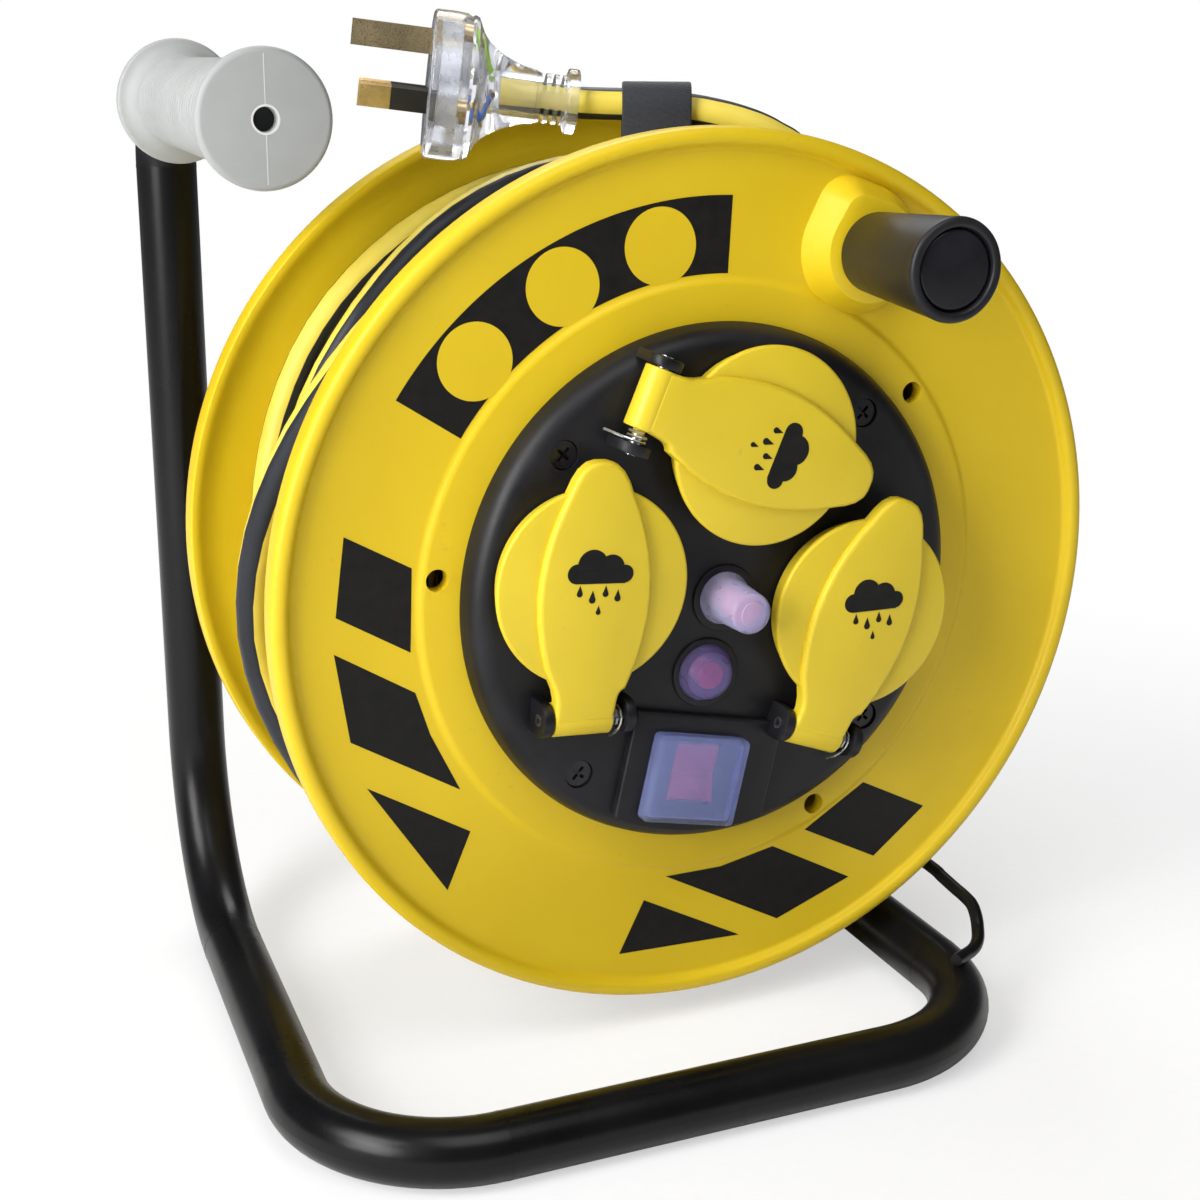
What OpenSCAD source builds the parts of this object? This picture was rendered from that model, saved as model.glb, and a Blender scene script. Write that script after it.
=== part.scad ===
// Extension cord reel on a bent tube frame, with three covered outlets.
// Reel coordinates: origin on the reel's axis in the plane of the front rim,
// +X right, +Y to the back, +Z up. at_reel() moves them into the part's frame,
// whose origin is on the floor under the middle of the box.

/* [Flanges] */
// Radius of both flanges over the rim
flange_r = 112.5; // [108:0.5:116]
// Distance over the two rims
reel_w = 93.6; // [88:0.2:100]
// Radial width of the rim bead
rim_w = 4; // [3:0.25:6]
// Depth of the rim bead along the axis
rim_d = 8; // [7:0.5:10]
// Thickness of the flange webs
web_t = 3; // [2:0.25:4]
// Setback of the web behind the rim
web_set = 2.5; // [2:0.25:3.5]
// Radius where the web steps up to its inner band
crease_r = 77; // [74:0.5:80]
// Height of that step
crease_h = 1; // [0.5:0.1:1.5]
// Radius of the three sight holes
sight_r = 2.8; // [2:0.1:4]
// Distance of the sight holes from the axis
sight_at = 72.5; // [71:0.5:73]

/* [Drum and hub] */
// Radius of the drum that carries the cable
drum_r = 60; // [58.5:0.25:62]
// Thickness of the drum wall
drum_wall = 2.5; // [1.8:0.1:2.9]
// Radius of the axle
axle_r = 7; // [6:0.25:9]
// Wall of the hub bush
bush_wall = 2.5; // [1.5:0.25:4]
// Running clearance of every shaft in its hole
run_gap = 0.06; // [0.02:0.01:0.1]
// Wall of the hub round its bush
hub_wall = 5; // [3:0.5:8]
// How far the hub reaches into the drum
hub_in = 36; // [28:1:42]
// How far the hub stands behind the rear web
hub_out = 12; // [9:0.5:14]
// Number of ribs behind the rear web
rib_n = 12; // [6:1:16]

/* [Socket panel] */
// Radius of the black panel
panel_r = 66.5; // [64:0.5:69]
// Height of the panel's face in front of the inner band
panel_h = 7.5; // [6:0.25:9]
// Wall of the panel
panel_t = 3; // [2:0.25:3.5]
// Distance of the panel screws from the axis
screw_at = 57.3; // [56.5:0.1:57.5]
// Radius of the screw shanks
screw_r = 1.75; // [1.4:0.05:2]
// Radius of the screw heads
screw_head_r = 3.4; // [3:0.1:3.8]

/* [Outlets and covers] */
// Radius of the raised outlet face
outlet_r = 19.5; // [18.5:0.1:19.8]
// Height of the outlet face above the panel
outlet_h = 3; // [2:0.25:3.5]
// Radius of the outlet's body under the panel
outlet_body_r = 16.5; // [15:0.25:17]
// Depth of the outlet's body under the face of the panel
outlet_deep = 24; // [20:1:30]
// Radius of a cover
cover_r = 24.6; // [24:0.1:25.4]
// Thickness of a cover's plate
cover_t = 2; // [1.5:0.1:2.5]
// Height of the raised leaf on a cover
leaf_h = 1.8; // [1:0.1:2.5]
// Half the width of the leaf
leaf_w = 14.5; // [12:0.5:17]
// Inner radius of a cover's skirt
skirt_r = 20.8; // [20.4:0.1:21.2]
// Wall of a cover's skirt
skirt_t = 1.8; // [1.2:0.1:2.5]
// Distance of the hinge from the middle of its cover
hinge_at = 33; // [32:0.25:33.5]
// Height of the hinge axis above the panel
hinge_h = 5.5; // [5.2:0.1:6]
// Radius of a hinge barrel
barrel_r = 4.2; // [3.6:0.1:4.6]
// Length of a hinge barrel
barrel_l = 15; // [12:0.5:16]
// Radius of a hinge pin
pin_r = 1.5; // [1.2:0.1:1.8]
// Thickness of the two ears of a hinge
ear_t = 2.6; // [2:0.1:3]
// Radius of the hinge spring's wire
spring_wire_r = 0.35; // [0.3:0.05:0.4]

/* [Buttons and switch] */
// Height of the tall boot over the overload button
tall_boot_h = 16.5; // [15:0.5:18]
// Radius of the tall boot
tall_boot_r = 6; // [5.6:0.1:6.6]
// Radius of the low boot over the test button
low_boot_r = 7; // [6:0.1:7.5]
// Height of the low boot
low_boot_h = 4.5; // [4.2:0.1:6]
// Wall of the silicone boots
boot_t = 1; // [0.8:0.1:1.2]
// Radius of the overload button
overload_r = 3.6; // [3:0.1:4]
// Radius of the test button
test_r = 3.5; // [3:0.1:4]
// Length of the square boot over the switch
square_boot_l = 26; // [25:0.5:28]
// Width of the square boot over the switch
square_boot_w = 23; // [22.5:0.5:24]
// Height of the square boot above its pad
square_boot_h = 4; // [3.8:0.1:5]
// Height of the pad that carries the switch
pad_h = 2.5; // [2:0.1:3]
// Length of the rocker
rocker_l = 16.4; // [15:0.2:17]
// Width of the rocker
rocker_w = 12; // [11:0.2:12.4]

/* [Knob] */
// Distance of the winding knob from the reel's axis
knob_at = 91.3; // [89:0.1:92]
// Length of the winding knob
knob_l = 36.5; // [32:0.5:38]
// Radius of the knob at its base
knob_base_r = 9.85; // [9:0.05:10.5]
// Radius of the knob at its end
knob_end_r = 12.2; // [11.8:0.1:12.8]
// Radius of the knob's cap
knob_cap_r = 9.75; // [9:0.05:10]
// Radius of the knob's spindle
spindle_r = 4; // [3:0.25:5]
// Height of the boss under the knob in front of the web
boss_h = 7.5; // [6:0.25:9]

/* [Frame] */
// Radius of the frame tube
tube_r = 8; // [7:0.25:8.75]
// Wall of the frame tube
tube_wall = 1.5; // [1:0.1:2.5]
// Gap between the flanges' rims and the floor
floor_gap = 8.3; // [7.5:0.1:17.5]
// Distance of the upright from the reel's axis
upright_at = 106.5; // [100:0.5:116]
// Distance from the rear flange's rim to the stand's upright
back_gap = 27.7; // [24.4:0.1:36.4]
// Distance of the front tube before the front rim
front_y = 49.6; // [48:0.2:60]
// Distance of the right leg from the reel's axis
right_at = 66; // [64:0.5:80]
// Angle by which the left leg spreads towards its front
splay_turn = 3.1311; // [0:0.1:4]
// Bend radius of the top bend
bend_top = 17.5; // [16:0.25:17.75]
// Bend radius at the foot of the upright
bend_foot = 48; // [30:1:52]
// Bend radius of the front corners
bend_front = 38; // [26:1:42]
// Bend radius at the foot of the riser
bend_riser = 30; // [24:1:36]
// Radius of the plate that carries the axle
plate_r = 22; // [18:0.5:26]
// Thickness of the axle plate
plate_t = 4; // [3:0.25:5]
// Radius of the stay's wire
wire_r = 1.75; // [1.5:0.05:2]

/* [Carry grip] */
// Radius of the grip's end discs
disc_r = 15.8; // [14.5:0.1:16.5]
// Thickness of the grip's end discs
disc_t = 3; // [2.5:0.25:4]
// Radius of the grip between its discs
grip_r = 12; // [11:0.25:13]
// Length of the grip over its discs
grip_l = 85.4; // [80:0.2:86]
// Height of the grip above the reel's axis
grip_z = 114.6; // [110:0.2:125]
// Number of rings round the grip
grip_rings = 26; // [16:1:32]
// Radius of the hole in the front disc
grip_hole_r = 2.35; // [2:0.05:4]

/* [Cable] */
// Radius of the cable
cable_r = 4; // [3.8:0.05:4.1]
// Radius of the outer layer's centre line
layer_r = 96.2; // [95.8:0.1:96.6]
// Turns in the outer layer
layer_n = 8; // [6:1:8]
// Length of the strap along the lead
strap_l = 17.5; // [14:0.5:20]
// Thickness of the strap
strap_t = 1.6; // [1.2:0.1:2]

/* [Plug] */
// Radius of the plug's face
plug_r = 18.3; // [17.5:0.1:19]
// Thickness of the plug's rim
plug_t = 9.5; // [8:0.5:11]
// Length of the plug's body
plug_l = 27; // [25:0.5:29]
// Radius of the strain relief
relief_r = 6.3; // [5.8:0.1:6.8]
// Length of the strain relief
relief_l = 11; // [9:0.5:13]
// Width of a flat pin
blade_w = 6.35; // [6:0.05:6.6]
// Thickness of a flat pin
blade_t = 1.63; // [1.5:0.01:1.8]

/* [Hidden] */
$fn = 64;
eps = 0.01;

// Colours
c_yellow = [0.88, 0.78, 0.16];
c_black = [0.09, 0.09, 0.1];
c_steel = [0.62, 0.63, 0.65];
c_brass = [0.78, 0.62, 0.3];
c_grip = [0.84, 0.85, 0.82];
c_boot = [0.72, 0.78, 0.9];
c_red = [0.8, 0.14, 0.16];
c_clear = [0.85, 0.9, 0.95];
c_nylon = [0.9, 0.89, 0.84];

// Places in reel coordinates
band_y = web_set - crease_h;              // front face of the front inner band
front_in = web_set + web_t;               // inner face of the front web
rear_out = reel_w - web_set;              // outer face of the rear web
rear_in = rear_out - web_t;               // inner face of the rear web
panel_y = band_y - panel_h;               // face of the panel
hub_r = axle_r + run_gap + bush_wall + hub_wall;
bush_r = axle_r + run_gap + bush_wall;
hub_front = rear_in - hub_in;
hub_rear = rear_out + hub_out;
ring_t = 1.5;                             // washer and retaining ring
axle_front = hub_front - 2 * ring_t - 2;
back_y = reel_w + back_gap;
plate_y = back_y - tube_r - plate_t;      // front face of the axle plate
screw_turn = 48;                          // angle of the first panel screw
lug_r = 4.4;                              // lugs and bosses round the screws
opening_r = drum_r - drum_wall;           // opening in the front flange
sight_turns = [173, 38.5, -63];
knob_turn = 64.2;
knob_xz = knob_at * [cos(knob_turn), sin(knob_turn)];
boss_y = web_set - boss_h;
boss_top_r = knob_base_r + 2.9;
boss_low_r = boss_top_r + 2.7;

// Covers: middle of the disc and direction from the hinge to the tip
cover_left_at = [-38.1, 7.5, 86.5];
cover_top_at = [7.2, 38, -22.5];
cover_right_at = [36.1, -7.4, 69.5];
covers = [cover_left_at, cover_top_at, cover_right_at];
plate_h = hinge_h + 0.5;                  // underside of a cover's plate
leaf_y = plate_h + cover_t + leaf_h;      // top of the leaf above the panel
leaf_long = 40;                           // half the length of the leaf's full lens
leaf_mid = -4;
leaf_arc = (leaf_long * leaf_long + leaf_w * leaf_w) / (2 * leaf_w);
tip_r = 6.5;
tip_at = 24.3;
neck_at = hinge_at - barrel_r - 0.7;      // the leaf is as narrow as the barrel behind this
hinge_gap = 0.3;
barrel_from = -barrel_l / 2 - 0.9;
spring_pitch = 2 * spring_wire_r + 0.45;
spring_room = 2 * spring_pitch + 2 * spring_wire_r + 2 * hinge_gap;
ear_1 = barrel_from - hinge_gap - ear_t;
ear_2 = barrel_from + barrel_l + spring_room;
seal_gap = 0.3;

// Buttons and switch on the panel
outlet_back = panel_y + outlet_deep;      // rear face of the outlets
block_t = 10;
gland_y = 60;
gland_turn = 200;
overload_at = [0.3, -1.2];
test_at = [-4.4, -20.2];
switch_at = [-8.3, -45.8];
boot_drop = 1.2;                          // the boot sits this much lower than the rocker
switch_turn = -12;
pivot_h = -1;
rocker_end = 4.3;
rocker_mid = 2.8;
rocker_rest = -8;
body_gap = 0.3;
switch_deep = 22;                         // bodies of the switch and the buttons behind the panel
overload_deep = 30;
test_deep = 24;

// Frame
axis_h = flange_r + floor_gap;
floor_z = -axis_h;
leg_z = floor_z + tube_r;
grip_front = back_y - bend_top - grip_l - 0.4;
tube_end_y = grip_front + disc_t + 2;
reel_x = -((-upright_at - disc_r) + flange_r) / 2;
reel_y = -((-front_y - tube_r) + (back_y + tube_r)) / 2;
left_front = [-upright_at - tan(splay_turn) * (back_y + front_y), -front_y, leg_z];
riser_over = 20;                          // riser past the axle
riser_dir = unit([-right_at, 0, axis_h - tube_r]);
riser_end = [0, back_y, 0] + riser_over * riser_dir;
frame_path = [
    [-upright_at, tube_end_y, grip_z],
    [-upright_at, back_y, grip_z],
    [-upright_at, back_y, leg_z],
    left_front,
    [right_at, -front_y, leg_z],
    [right_at, back_y, leg_z],
    riser_end
];
frame_bends = [bend_top, bend_foot, bend_front, bend_front, bend_riser];
stay_z = leg_z + tube_r + wire_r;         // the wire's height where it lies on the leg
stay_out = right_at + 11;
stay_route = [
    [62, -27.2, stay_z],
    [64.5, -26, stay_z],
    [67, -24.7, stay_z - 0.2],
    [69.3, -23.5, stay_z - 0.2],
    [71.5, -22, stay_z + 0.1],
    [73.5, -20, stay_z + 0.9],
    [75, -17.6, stay_z + 2.2],
    [76.2, -14.8, stay_z + 4.4],
    [stay_out, -11.3, stay_z + 6.4],
    [stay_out, -7.5, stay_z + 7.3],
    [stay_out, -2.8, stay_z + 7.7],
    [stay_out, 4, stay_z + 8.4],
    [stay_out, 10, stay_z + 9],
    [stay_out, 40, stay_z + 9],
    [stay_out, 70, stay_z + 9],
    [stay_out, 75, stay_z + 8.6],
    [76.8, 79, stay_z + 7.4],
    [76, 82, stay_z + 5.6],
    [74.6, 84.4, stay_z + 3.4],
    [72.6, 86, stay_z + 1.6],
    [70.2, 87, stay_z + 0.5],
    [67.6, 87.6, stay_z],
    [64, 88, stay_z]
];

// Winding: rings per turn, sides and the climb on to the last turn
turn_rings = 24;
tube_sides = 6;
wind_end = 52;                            // angle where the lead leaves
climb_n = 0.5;
last_n = 0.94;
wind_n = layer_n + climb_n + last_n;
wind_front = front_in + cable_r + 3.6;
wind_back = rear_in - cable_r - 1.2;
wind_pitch = (wind_back - wind_front) / layer_n;
last_r = layer_r + 2 * cable_r + 0.6;
bump = 2.4;                               // the last turn lifts over the top
bump_at = layer_n + 0.55;                 // where it does so
turn_back = layer_n + 0.3;                // where the cable starts back over the layer
last_back = 15;
core_r = layer_r * cos(180 / turn_rings) - cable_r - 0.1;

// Lead: its route from the winding to the plug, and the plug's axis
plug_dir = unit([-0.950, 0.291, 0.119]);
relief_end = [-15.9, 51, 115.7];
face_at = relief_end + (plug_l + relief_l) * plug_dir;
straight_l = 2 * cable_r + 0.2;
tail_l = 35.6;                            // the last turn runs straight off the reel
last_lean = 0.17;                         // and this much of it to the back
tail_dir = unit([-sin(wind_end), last_lean, cos(wind_end)]);
wound = winding_points();
lead_start = wound[len(wound) - 1];
lead_route = [
    lead_start + 3 * tail_dir,
    [31.9, 32.7, 107.4],
    [29.2, 33.5, 108.9],
    [26.3, 34.5, 110.2],
    [23.2, 35.7, 111.3],
    [19.9, 37.1, 112.3],
    [16.5, 38.6, 113.1],
    [13.1, 40.1, 113.8],
    [9.7, 41.5, 114.3],
    [6.3, 42.8, 114.7],
    [3, 44, 115],
    [-1, 45.5, 115.2],
    [-5.5, 47.2, 115.4],
    [-10.5, 49.1, 115.5]
];
strap_mid = [3, 44, 115.1];
strap_dir = unit([-0.92, 0.39, 0.03]);
pin_turns = [150, 30, 270];
pin_radii = [7.92, 7.92, 10.31];
pin_lengths = [17.06, 17.06, 19.94];
pin_spins = [60, 120, 90];
sleeve_l = 9;
pin_root = 6.8;                           // the pins end this far inside the plug's face

// ---- helpers ----

function unit(v) = v / norm(v);

function flip(p) = [for (q = p) [q[0], -q[1]]];

module at_reel() {
    translate([reel_x, reel_y, axis_h]) children();
}

// Turns a profile of [radius, y] points round the reel's axis.
module turned(profile) {
    rotate([90, 0, 0]) rotate_extrude() polygon(flip(profile));
}

// A rod or ring along Y from y0 to y1.
module rod_y(r, y0, y1) {
    translate([0, y1, 0]) rotate([90, 0, 0]) cylinder(r = r, h = y1 - y0);
}

// Local frame on the panel: X right, Y up the panel, Z out of its face.
module on_panel(at, turn = 0) {
    translate([at[0], panel_y, at[1]]) rotate([90, 0, 0]) rotate(turn) children();
}

// Places children with local Z along a direction.
module along(from, dir) {
    d = unit(dir);
    side = norm(cross(d, [0, 0, 1])) < 0.01 ? [1, 0, 0] : unit(cross([0, 0, 1], d));
    up = cross(d, side);
    translate(from) multmatrix([
        [side[0], up[0], d[0], 0],
        [side[1], up[1], d[1], 0],
        [side[2], up[2], d[2], 0],
        [0, 0, 0, 1]
    ]) children();
}

// A bent tube along a path of corners, in one frame handed on from run to run.
module bent_tube(path, bends, r, wall = 0) {
    d = unit(path[1] - path[0]);
    side = norm(cross(d, [0, 0, 1])) < 0.01 ? [1, 0, 0] : unit(cross([0, 0, 1], d));
    along(path[0], d) tube_run(path, bends, r, wall, 0, side);
}

function bend_half(path, i) =
    acos(unit(path[i] - path[i - 1]) * unit(path[i + 1] - path[i])) / 2;

function bend_cut(path, bends, i) =
    i < 1 || i > len(path) - 2 ? 0 : bends[i - 1] * tan(bend_half(path, i));

// Run i, the bend after it and the runs that follow. side is the frame's X. A run
// starts on a fine collar, so that it may leave a bend in any direction.
module tube_run(path, bends, r, wall, i, side) {
    proud = 0.05;
    collar = i > 0 ? 0.6 : 0;
    long = norm(path[i + 1] - path[i]) - bend_cut(path, bends, i)
        - bend_cut(path, bends, i + 1) - collar;
    last = i == len(path) - 2;
    d = unit(path[i + 1] - path[i]);
    next = last ? side : unit(path[i + 2] - path[i + 1]);
    inward = unit(next - (next * d) * d);
    twist = last ? 0 : atan2(cross(d, side) * inward, side * inward);
    if (i > 0) linear_extrude(collar) tube_section(r + proud, wall > 0 ? wall + 2 * proud : 0);
    translate([0, 0, collar]) rotate(twist) {
        linear_extrude(long) tube_section(r, wall);
        if (!last) {
            bend = bends[i];
            turn = 2 * bend_half(path, i + 1);
            translate([bend, 0, long])
                multmatrix([[-1, 0, 0, 0], [0, 0, 1, 0], [0, 1, 0, 0], [0, 0, 0, 1]])
                    rotate_extrude(angle = turn) translate([bend, 0]) rotate(180)
                        tube_section(r, wall);
            translate([bend, 0, long]) rotate([0, turn, 0]) translate([-bend, 0, 0])
                tube_run(path, bends, r, wall, i + 1, cos(turn) * inward - sin(turn) * d);
        }
    }
}

// The section starts on the outer side of the bends, so that their seams meet.
module tube_section(r, wall) {
    rotate(180) difference() {
        circle(r);
        if (wall > 0) circle(r - wall);
    }
}

// One closed tube swept along points; its rings stay square to the route.
function ring_side(t) = abs(t[2]) > 0.95 ? unit(cross([0, 1, 0], t)) : unit(cross([0, 0, 1], t));

module swept(points, r, sides, ref = [0, 0, 0]) {
    n = len(points);
    tangents = [for (i = [0:n - 1]) unit(points[min(i + 1, n - 1)] - points[max(i - 1, 0)])];
    verts = [
        for (i = [0:n - 1])
            let (a = norm(ref) > 0 ? unit(cross(ref, tangents[i])) : ring_side(tangents[i]))
            let (b = cross(tangents[i], a))
            for (k = [0:sides - 1])
                points[i] + r * (cos(360 * k / sides) * a + sin(360 * k / sides) * b)
    ];
    quads = [
        for (i = [0:n - 2], k = [0:sides - 1], half = [0, 1])
            let (p = i * sides + k, q = i * sides + (k + 1) % sides)
            half == 0 ? [p, p + sides, q] : [q, p + sides, q + sides]
    ];
    first = [for (k = [0:sides - 1]) k];
    last = [for (k = [sides - 1:-1:0]) (n - 1) * sides + k];
    polyhedron(points = verts, faces = concat(quads, [first], [last]), convexity = 10);
}

// ---- frame ----

module frame_tube() {
    color(c_black) bent_tube(frame_path, frame_bends, tube_r, tube_wall);
}

module stay_wire() {
    color(c_black) swept(stay_route, wire_r, 12);
}

module axle_plate() {
    color(c_black) difference() {
        rod_y(plate_r, plate_y, plate_y + plate_t);
        rod_y(axle_r, plate_y - 1, plate_y + plate_t + 1);
    }
}

module axle() {
    groove_y = hub_front - 2 * ring_t;
    color(c_steel) difference() {
        turned([
            [0, axle_front], [axle_r - 1, axle_front], [axle_r, axle_front + 1],
            [axle_r, groove_y], [axle_r - 1, groove_y], [axle_r - 1, groove_y + ring_t],
            [axle_r, groove_y + ring_t], [axle_r, plate_y + plate_t], [0, plate_y + plate_t]
        ]);
        rod_y(1.5, axle_front - 1, axle_front + 5);
    }
}

module ring_y(outer, inner, y0, y1) {
    difference() {
        rod_y(outer, y0, y1);
        rod_y(inner, y0 - 1, y1 + 1);
    }
}

module thrust_washers() {
    color(c_steel) {
        ring_y(hub_r, axle_r + 0.3, hub_front - ring_t + 0.05, hub_front - 0.05);
        ring_y(hub_r + 1, axle_r + 0.3, hub_rear + 0.2, plate_y - 0.2);
    }
}

module retaining_ring() {
    color(c_steel) difference() {
        ring_y(axle_r + 2.5, axle_r - 1, hub_front - 2 * ring_t, hub_front - ring_t);
        translate([-1.5, hub_front - 2 * ring_t - 1, 0]) cube([3, ring_t + 2, axle_r + 4]);
    }
}

module tube_caps() {
    // One cap closes the tube's end inside the grip, the other the top of the riser.
    cap_t = 1.4;
    color(c_black) {
        translate([-upright_at, 0, grip_z]) {
            rod_y(tube_r, tube_end_y - cap_t, tube_end_y);
            rod_y(tube_r - tube_wall, tube_end_y, tube_end_y + 8);
        }
        along(riser_end, riser_dir) {
            cylinder(r = tube_r, h = cap_t);
            translate([0, 0, -8]) cylinder(r = tube_r - tube_wall, h = 8);
        }
    }
}

module carry_grip() {
    flare = 3.2;
    rib = 0.45;
    y0 = grip_front;
    y1 = y0 + grip_l;
    from = y0 + disc_t + flare;
    step = (grip_l - 2 * (disc_t + flare)) / grip_rings;
    rings = [
        for (i = [0:grip_rings - 1], s = [0:2])
            [grip_r - (s == 1 ? 0 : rib), from + (i + s / 3) * step]
    ];
    color(c_grip) translate([-upright_at, 0, grip_z]) difference() {
        turned(concat(
            [[0, y0], [disc_r - 1, y0], [disc_r, y0 + 1], [disc_r, y0 + disc_t - 0.8],
             [disc_r - 0.8, y0 + disc_t], [grip_r + 0.6, y0 + disc_t + flare / 2]],
            rings,
            [[grip_r - rib, y1 - disc_t - flare], [grip_r + 0.6, y1 - disc_t - flare / 2],
             [disc_r - 0.8, y1 - disc_t], [disc_r, y1 - disc_t + 0.8], [disc_r, y1 - 1],
             [disc_r - 1, y1], [0, y1]]
        ));
        rod_y(tube_r + run_gap, y0 + disc_t, y1 + 1);
        rod_y(grip_hole_r, y0 - 1, y0 + disc_t + 1);
    }
}

// ---- reel body ----

// Half profile of a flange from its opening to its rim, as [radius, depth].
function flange_profile(inner) = [
    [inner, band_y], [crease_r - 1.5, band_y], [crease_r + 1.5, web_set],
    [flange_r - rim_w - 1.2, web_set], [flange_r - rim_w, web_set - 1],
    [flange_r - rim_w + 0.4, 0.8], [flange_r - rim_w + 1.3, 0],
    [flange_r - 1.2, 0], [flange_r, 1.2], [flange_r, rim_d - 1], [flange_r - 1, rim_d],
    [flange_r - rim_w + 1, rim_d], [flange_r - rim_w, front_in],
    [crease_r + 1.5, front_in], [crease_r - 1.5, front_in], [inner, front_in]
];

module screw_ring() {
    for (k = [0:3])
        rotate([0, -(screw_turn + 90 * k), 0]) translate([screw_at, 0, 0]) children();
}

module knob_place() {
    translate([knob_xz[0], 0, knob_xz[1]]) children();
}

module knob_boss() {
    knob_place() turned([
        [0, boss_y], [boss_top_r - 1, boss_y], [boss_top_r, boss_y + 0.6],
        [boss_low_r - 0.6, web_set - 0.8], [boss_low_r, web_set + 0.5], [0, web_set + 0.5]
    ]);
    // Lobe that runs up to the rim
    knob_place() translate([-3.8, 0, 9.5]) turned([
        [0, boss_y + 0.8], [4.5, boss_y + 0.8], [6.8, web_set + 0.6], [0, web_set + 0.6]
    ]);
}

module front_flange() {
    color(c_yellow) difference() {
        union() {
            turned(flange_profile(opening_r));
            screw_ring() rod_y(lug_r, band_y + 0.4, front_in - 0.2);
            intersection() {
                knob_boss();
                rod_y(flange_r - 0.6, boss_y - 1, front_in);
            }
        }
        screw_ring() rod_y(screw_r + 0.2, band_y - 1, front_in + 1);
        for (a = sight_turns)
            rotate([0, -a, 0]) translate([sight_at, 0, 0]) rod_y(sight_r, band_y - 1, front_in + 1);
        knob_place() rod_y(spindle_r, boss_y - 1, front_in + 1);
    }
}

module rear_flange() {
    rib_h = 4.5;
    color(c_yellow) difference() {
        union() {
            translate([0, reel_w, 0]) mirror([0, 1, 0]) turned(flange_profile(bush_r));
            rod_y(hub_r, hub_front, hub_rear);
            for (k = [0:rib_n - 1])
                rotate([0, 360 / rib_n * k, 0])
                    translate([hub_r - 1, rear_out, -1]) cube([crease_r - hub_r - 4, rib_h, 2]);
            turned([
                [crease_r - 6, rear_out], [crease_r - 6, rear_out + rib_h],
                [crease_r - 4, rear_out + rib_h], [crease_r - 4, rear_out]
            ]);
        }
        rod_y(bush_r, hub_front - 1, hub_rear + 1);
        screw_ring() {
            rod_y(screw_r + 0.2, rear_in - 1, hub_rear);
            rod_y(screw_head_r + 0.3, rear_out + crease_h - 1, hub_rear);
        }
    }
}

module drum_core() {
    boss_l = 14;
    color(c_yellow) difference() {
        rod_y(drum_r, front_in, rear_in);
        difference() {
            rod_y(opening_r, front_in - 1, rear_in + 1);
            screw_ring() {
                rod_y(lug_r, front_in + 0.3, front_in + boss_l);
                rod_y(lug_r, rear_in - boss_l, rear_in - 0.3);
            }
        }
        screw_ring() {
            rod_y(screw_r, front_in - 1, front_in + boss_l - 2);
            rod_y(screw_r, rear_in - boss_l + 2, rear_in + 1);
        }
        // Cable entry
        gland_place() cylinder(r = cable_r + 2.5, h = drum_r + 5);
    }
}

module gland_place() {
    rotate([0, -gland_turn, 0]) translate([0, gland_y, 0]) rotate([0, 90, 0]) children();
}

module cable_gland() {
    color(c_black) difference() {
        gland_place() {
            translate([0, 0, opening_r - 3]) cylinder(r = cable_r + 2.4, h = drum_wall + 2.9);
            translate([0, 0, opening_r - 6]) cylinder(r = cable_r + 4.5, h = 3);
        }
        gland_place() cylinder(r = cable_r - 0.6, h = drum_r + 5);
    }
}

module hub_bush() {
    color(c_nylon) ring_y(bush_r, axle_r + run_gap, hub_front, hub_rear);
}

module rear_screws() {
    head_t = 2.2;
    y = rear_out + crease_h - 1;
    color(c_steel) screw_ring() difference() {
        union() {
            rod_y(screw_head_r, y, y + head_t);
            rod_y(screw_r - 0.05, rear_in - 10, y);
        }
        for (a = [0, 90])
            rotate([0, a, 0]) translate([-2, y + 1.2, -0.4]) cube([4, head_t, 0.8]);
    }
}

// ---- panel ----

module leaf_outline() {
    intersection() {
        translate([leaf_arc - leaf_w, leaf_mid]) circle(leaf_arc, $fn = 160);
        translate([leaf_w - leaf_arc, leaf_mid]) circle(leaf_arc, $fn = 160);
        translate([-leaf_w, -hinge_at]) square([2 * leaf_w, hinge_at + tip_at]);
        union() {
            translate([barrel_from, -hinge_at]) square([barrel_l, hinge_at]);
            translate([-leaf_w, -neck_at]) square([2 * leaf_w, neck_at + tip_at]);
        }
    }
    translate([0, tip_at]) circle(tip_r);
}

module cover_place(at) {
    on_panel([at[0], at[1]], at[2] - 90) children();
}

module hinge_place() {
    translate([0, -hinge_at, hinge_h]) rotate([0, 90, 0]) children();
}

module hinge_ears() {
    for (s = [ear_1, ear_2]) {
        hinge_place() translate([0, 0, s]) cylinder(r = barrel_r + 0.2, h = ear_t);
        translate([s, -hinge_at - barrel_r - 0.2, -1.5])
            cube([ear_t, 2 * barrel_r + 0.4, hinge_h + 1.5]);
    }
}

module panel_pad() {
    difference() {
        intersection() {
            on_panel(switch_at, switch_turn) translate([-19, -25, -eps])
                linear_extrude(pad_h + eps) square([42, 40]);
            rod_y(panel_r - 4.5, panel_y - pad_h - 1, panel_y + 1);
        }
        for (at = covers) cover_place(at) hinge_place() translate([0, 0, ear_1 + 1])
            cylinder(r = barrel_r + 0.5, h = ear_2 - ear_1);
    }
}

module switch_hole(grow = 0) {
    on_panel(switch_at, switch_turn) translate([0, 0, -panel_t - 4])
        linear_extrude(panel_t + pad_h + 8)
            square([rocker_w + 4 + 2 * grow, rocker_l + 2.4 + 2 * grow], center = true);
}

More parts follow.
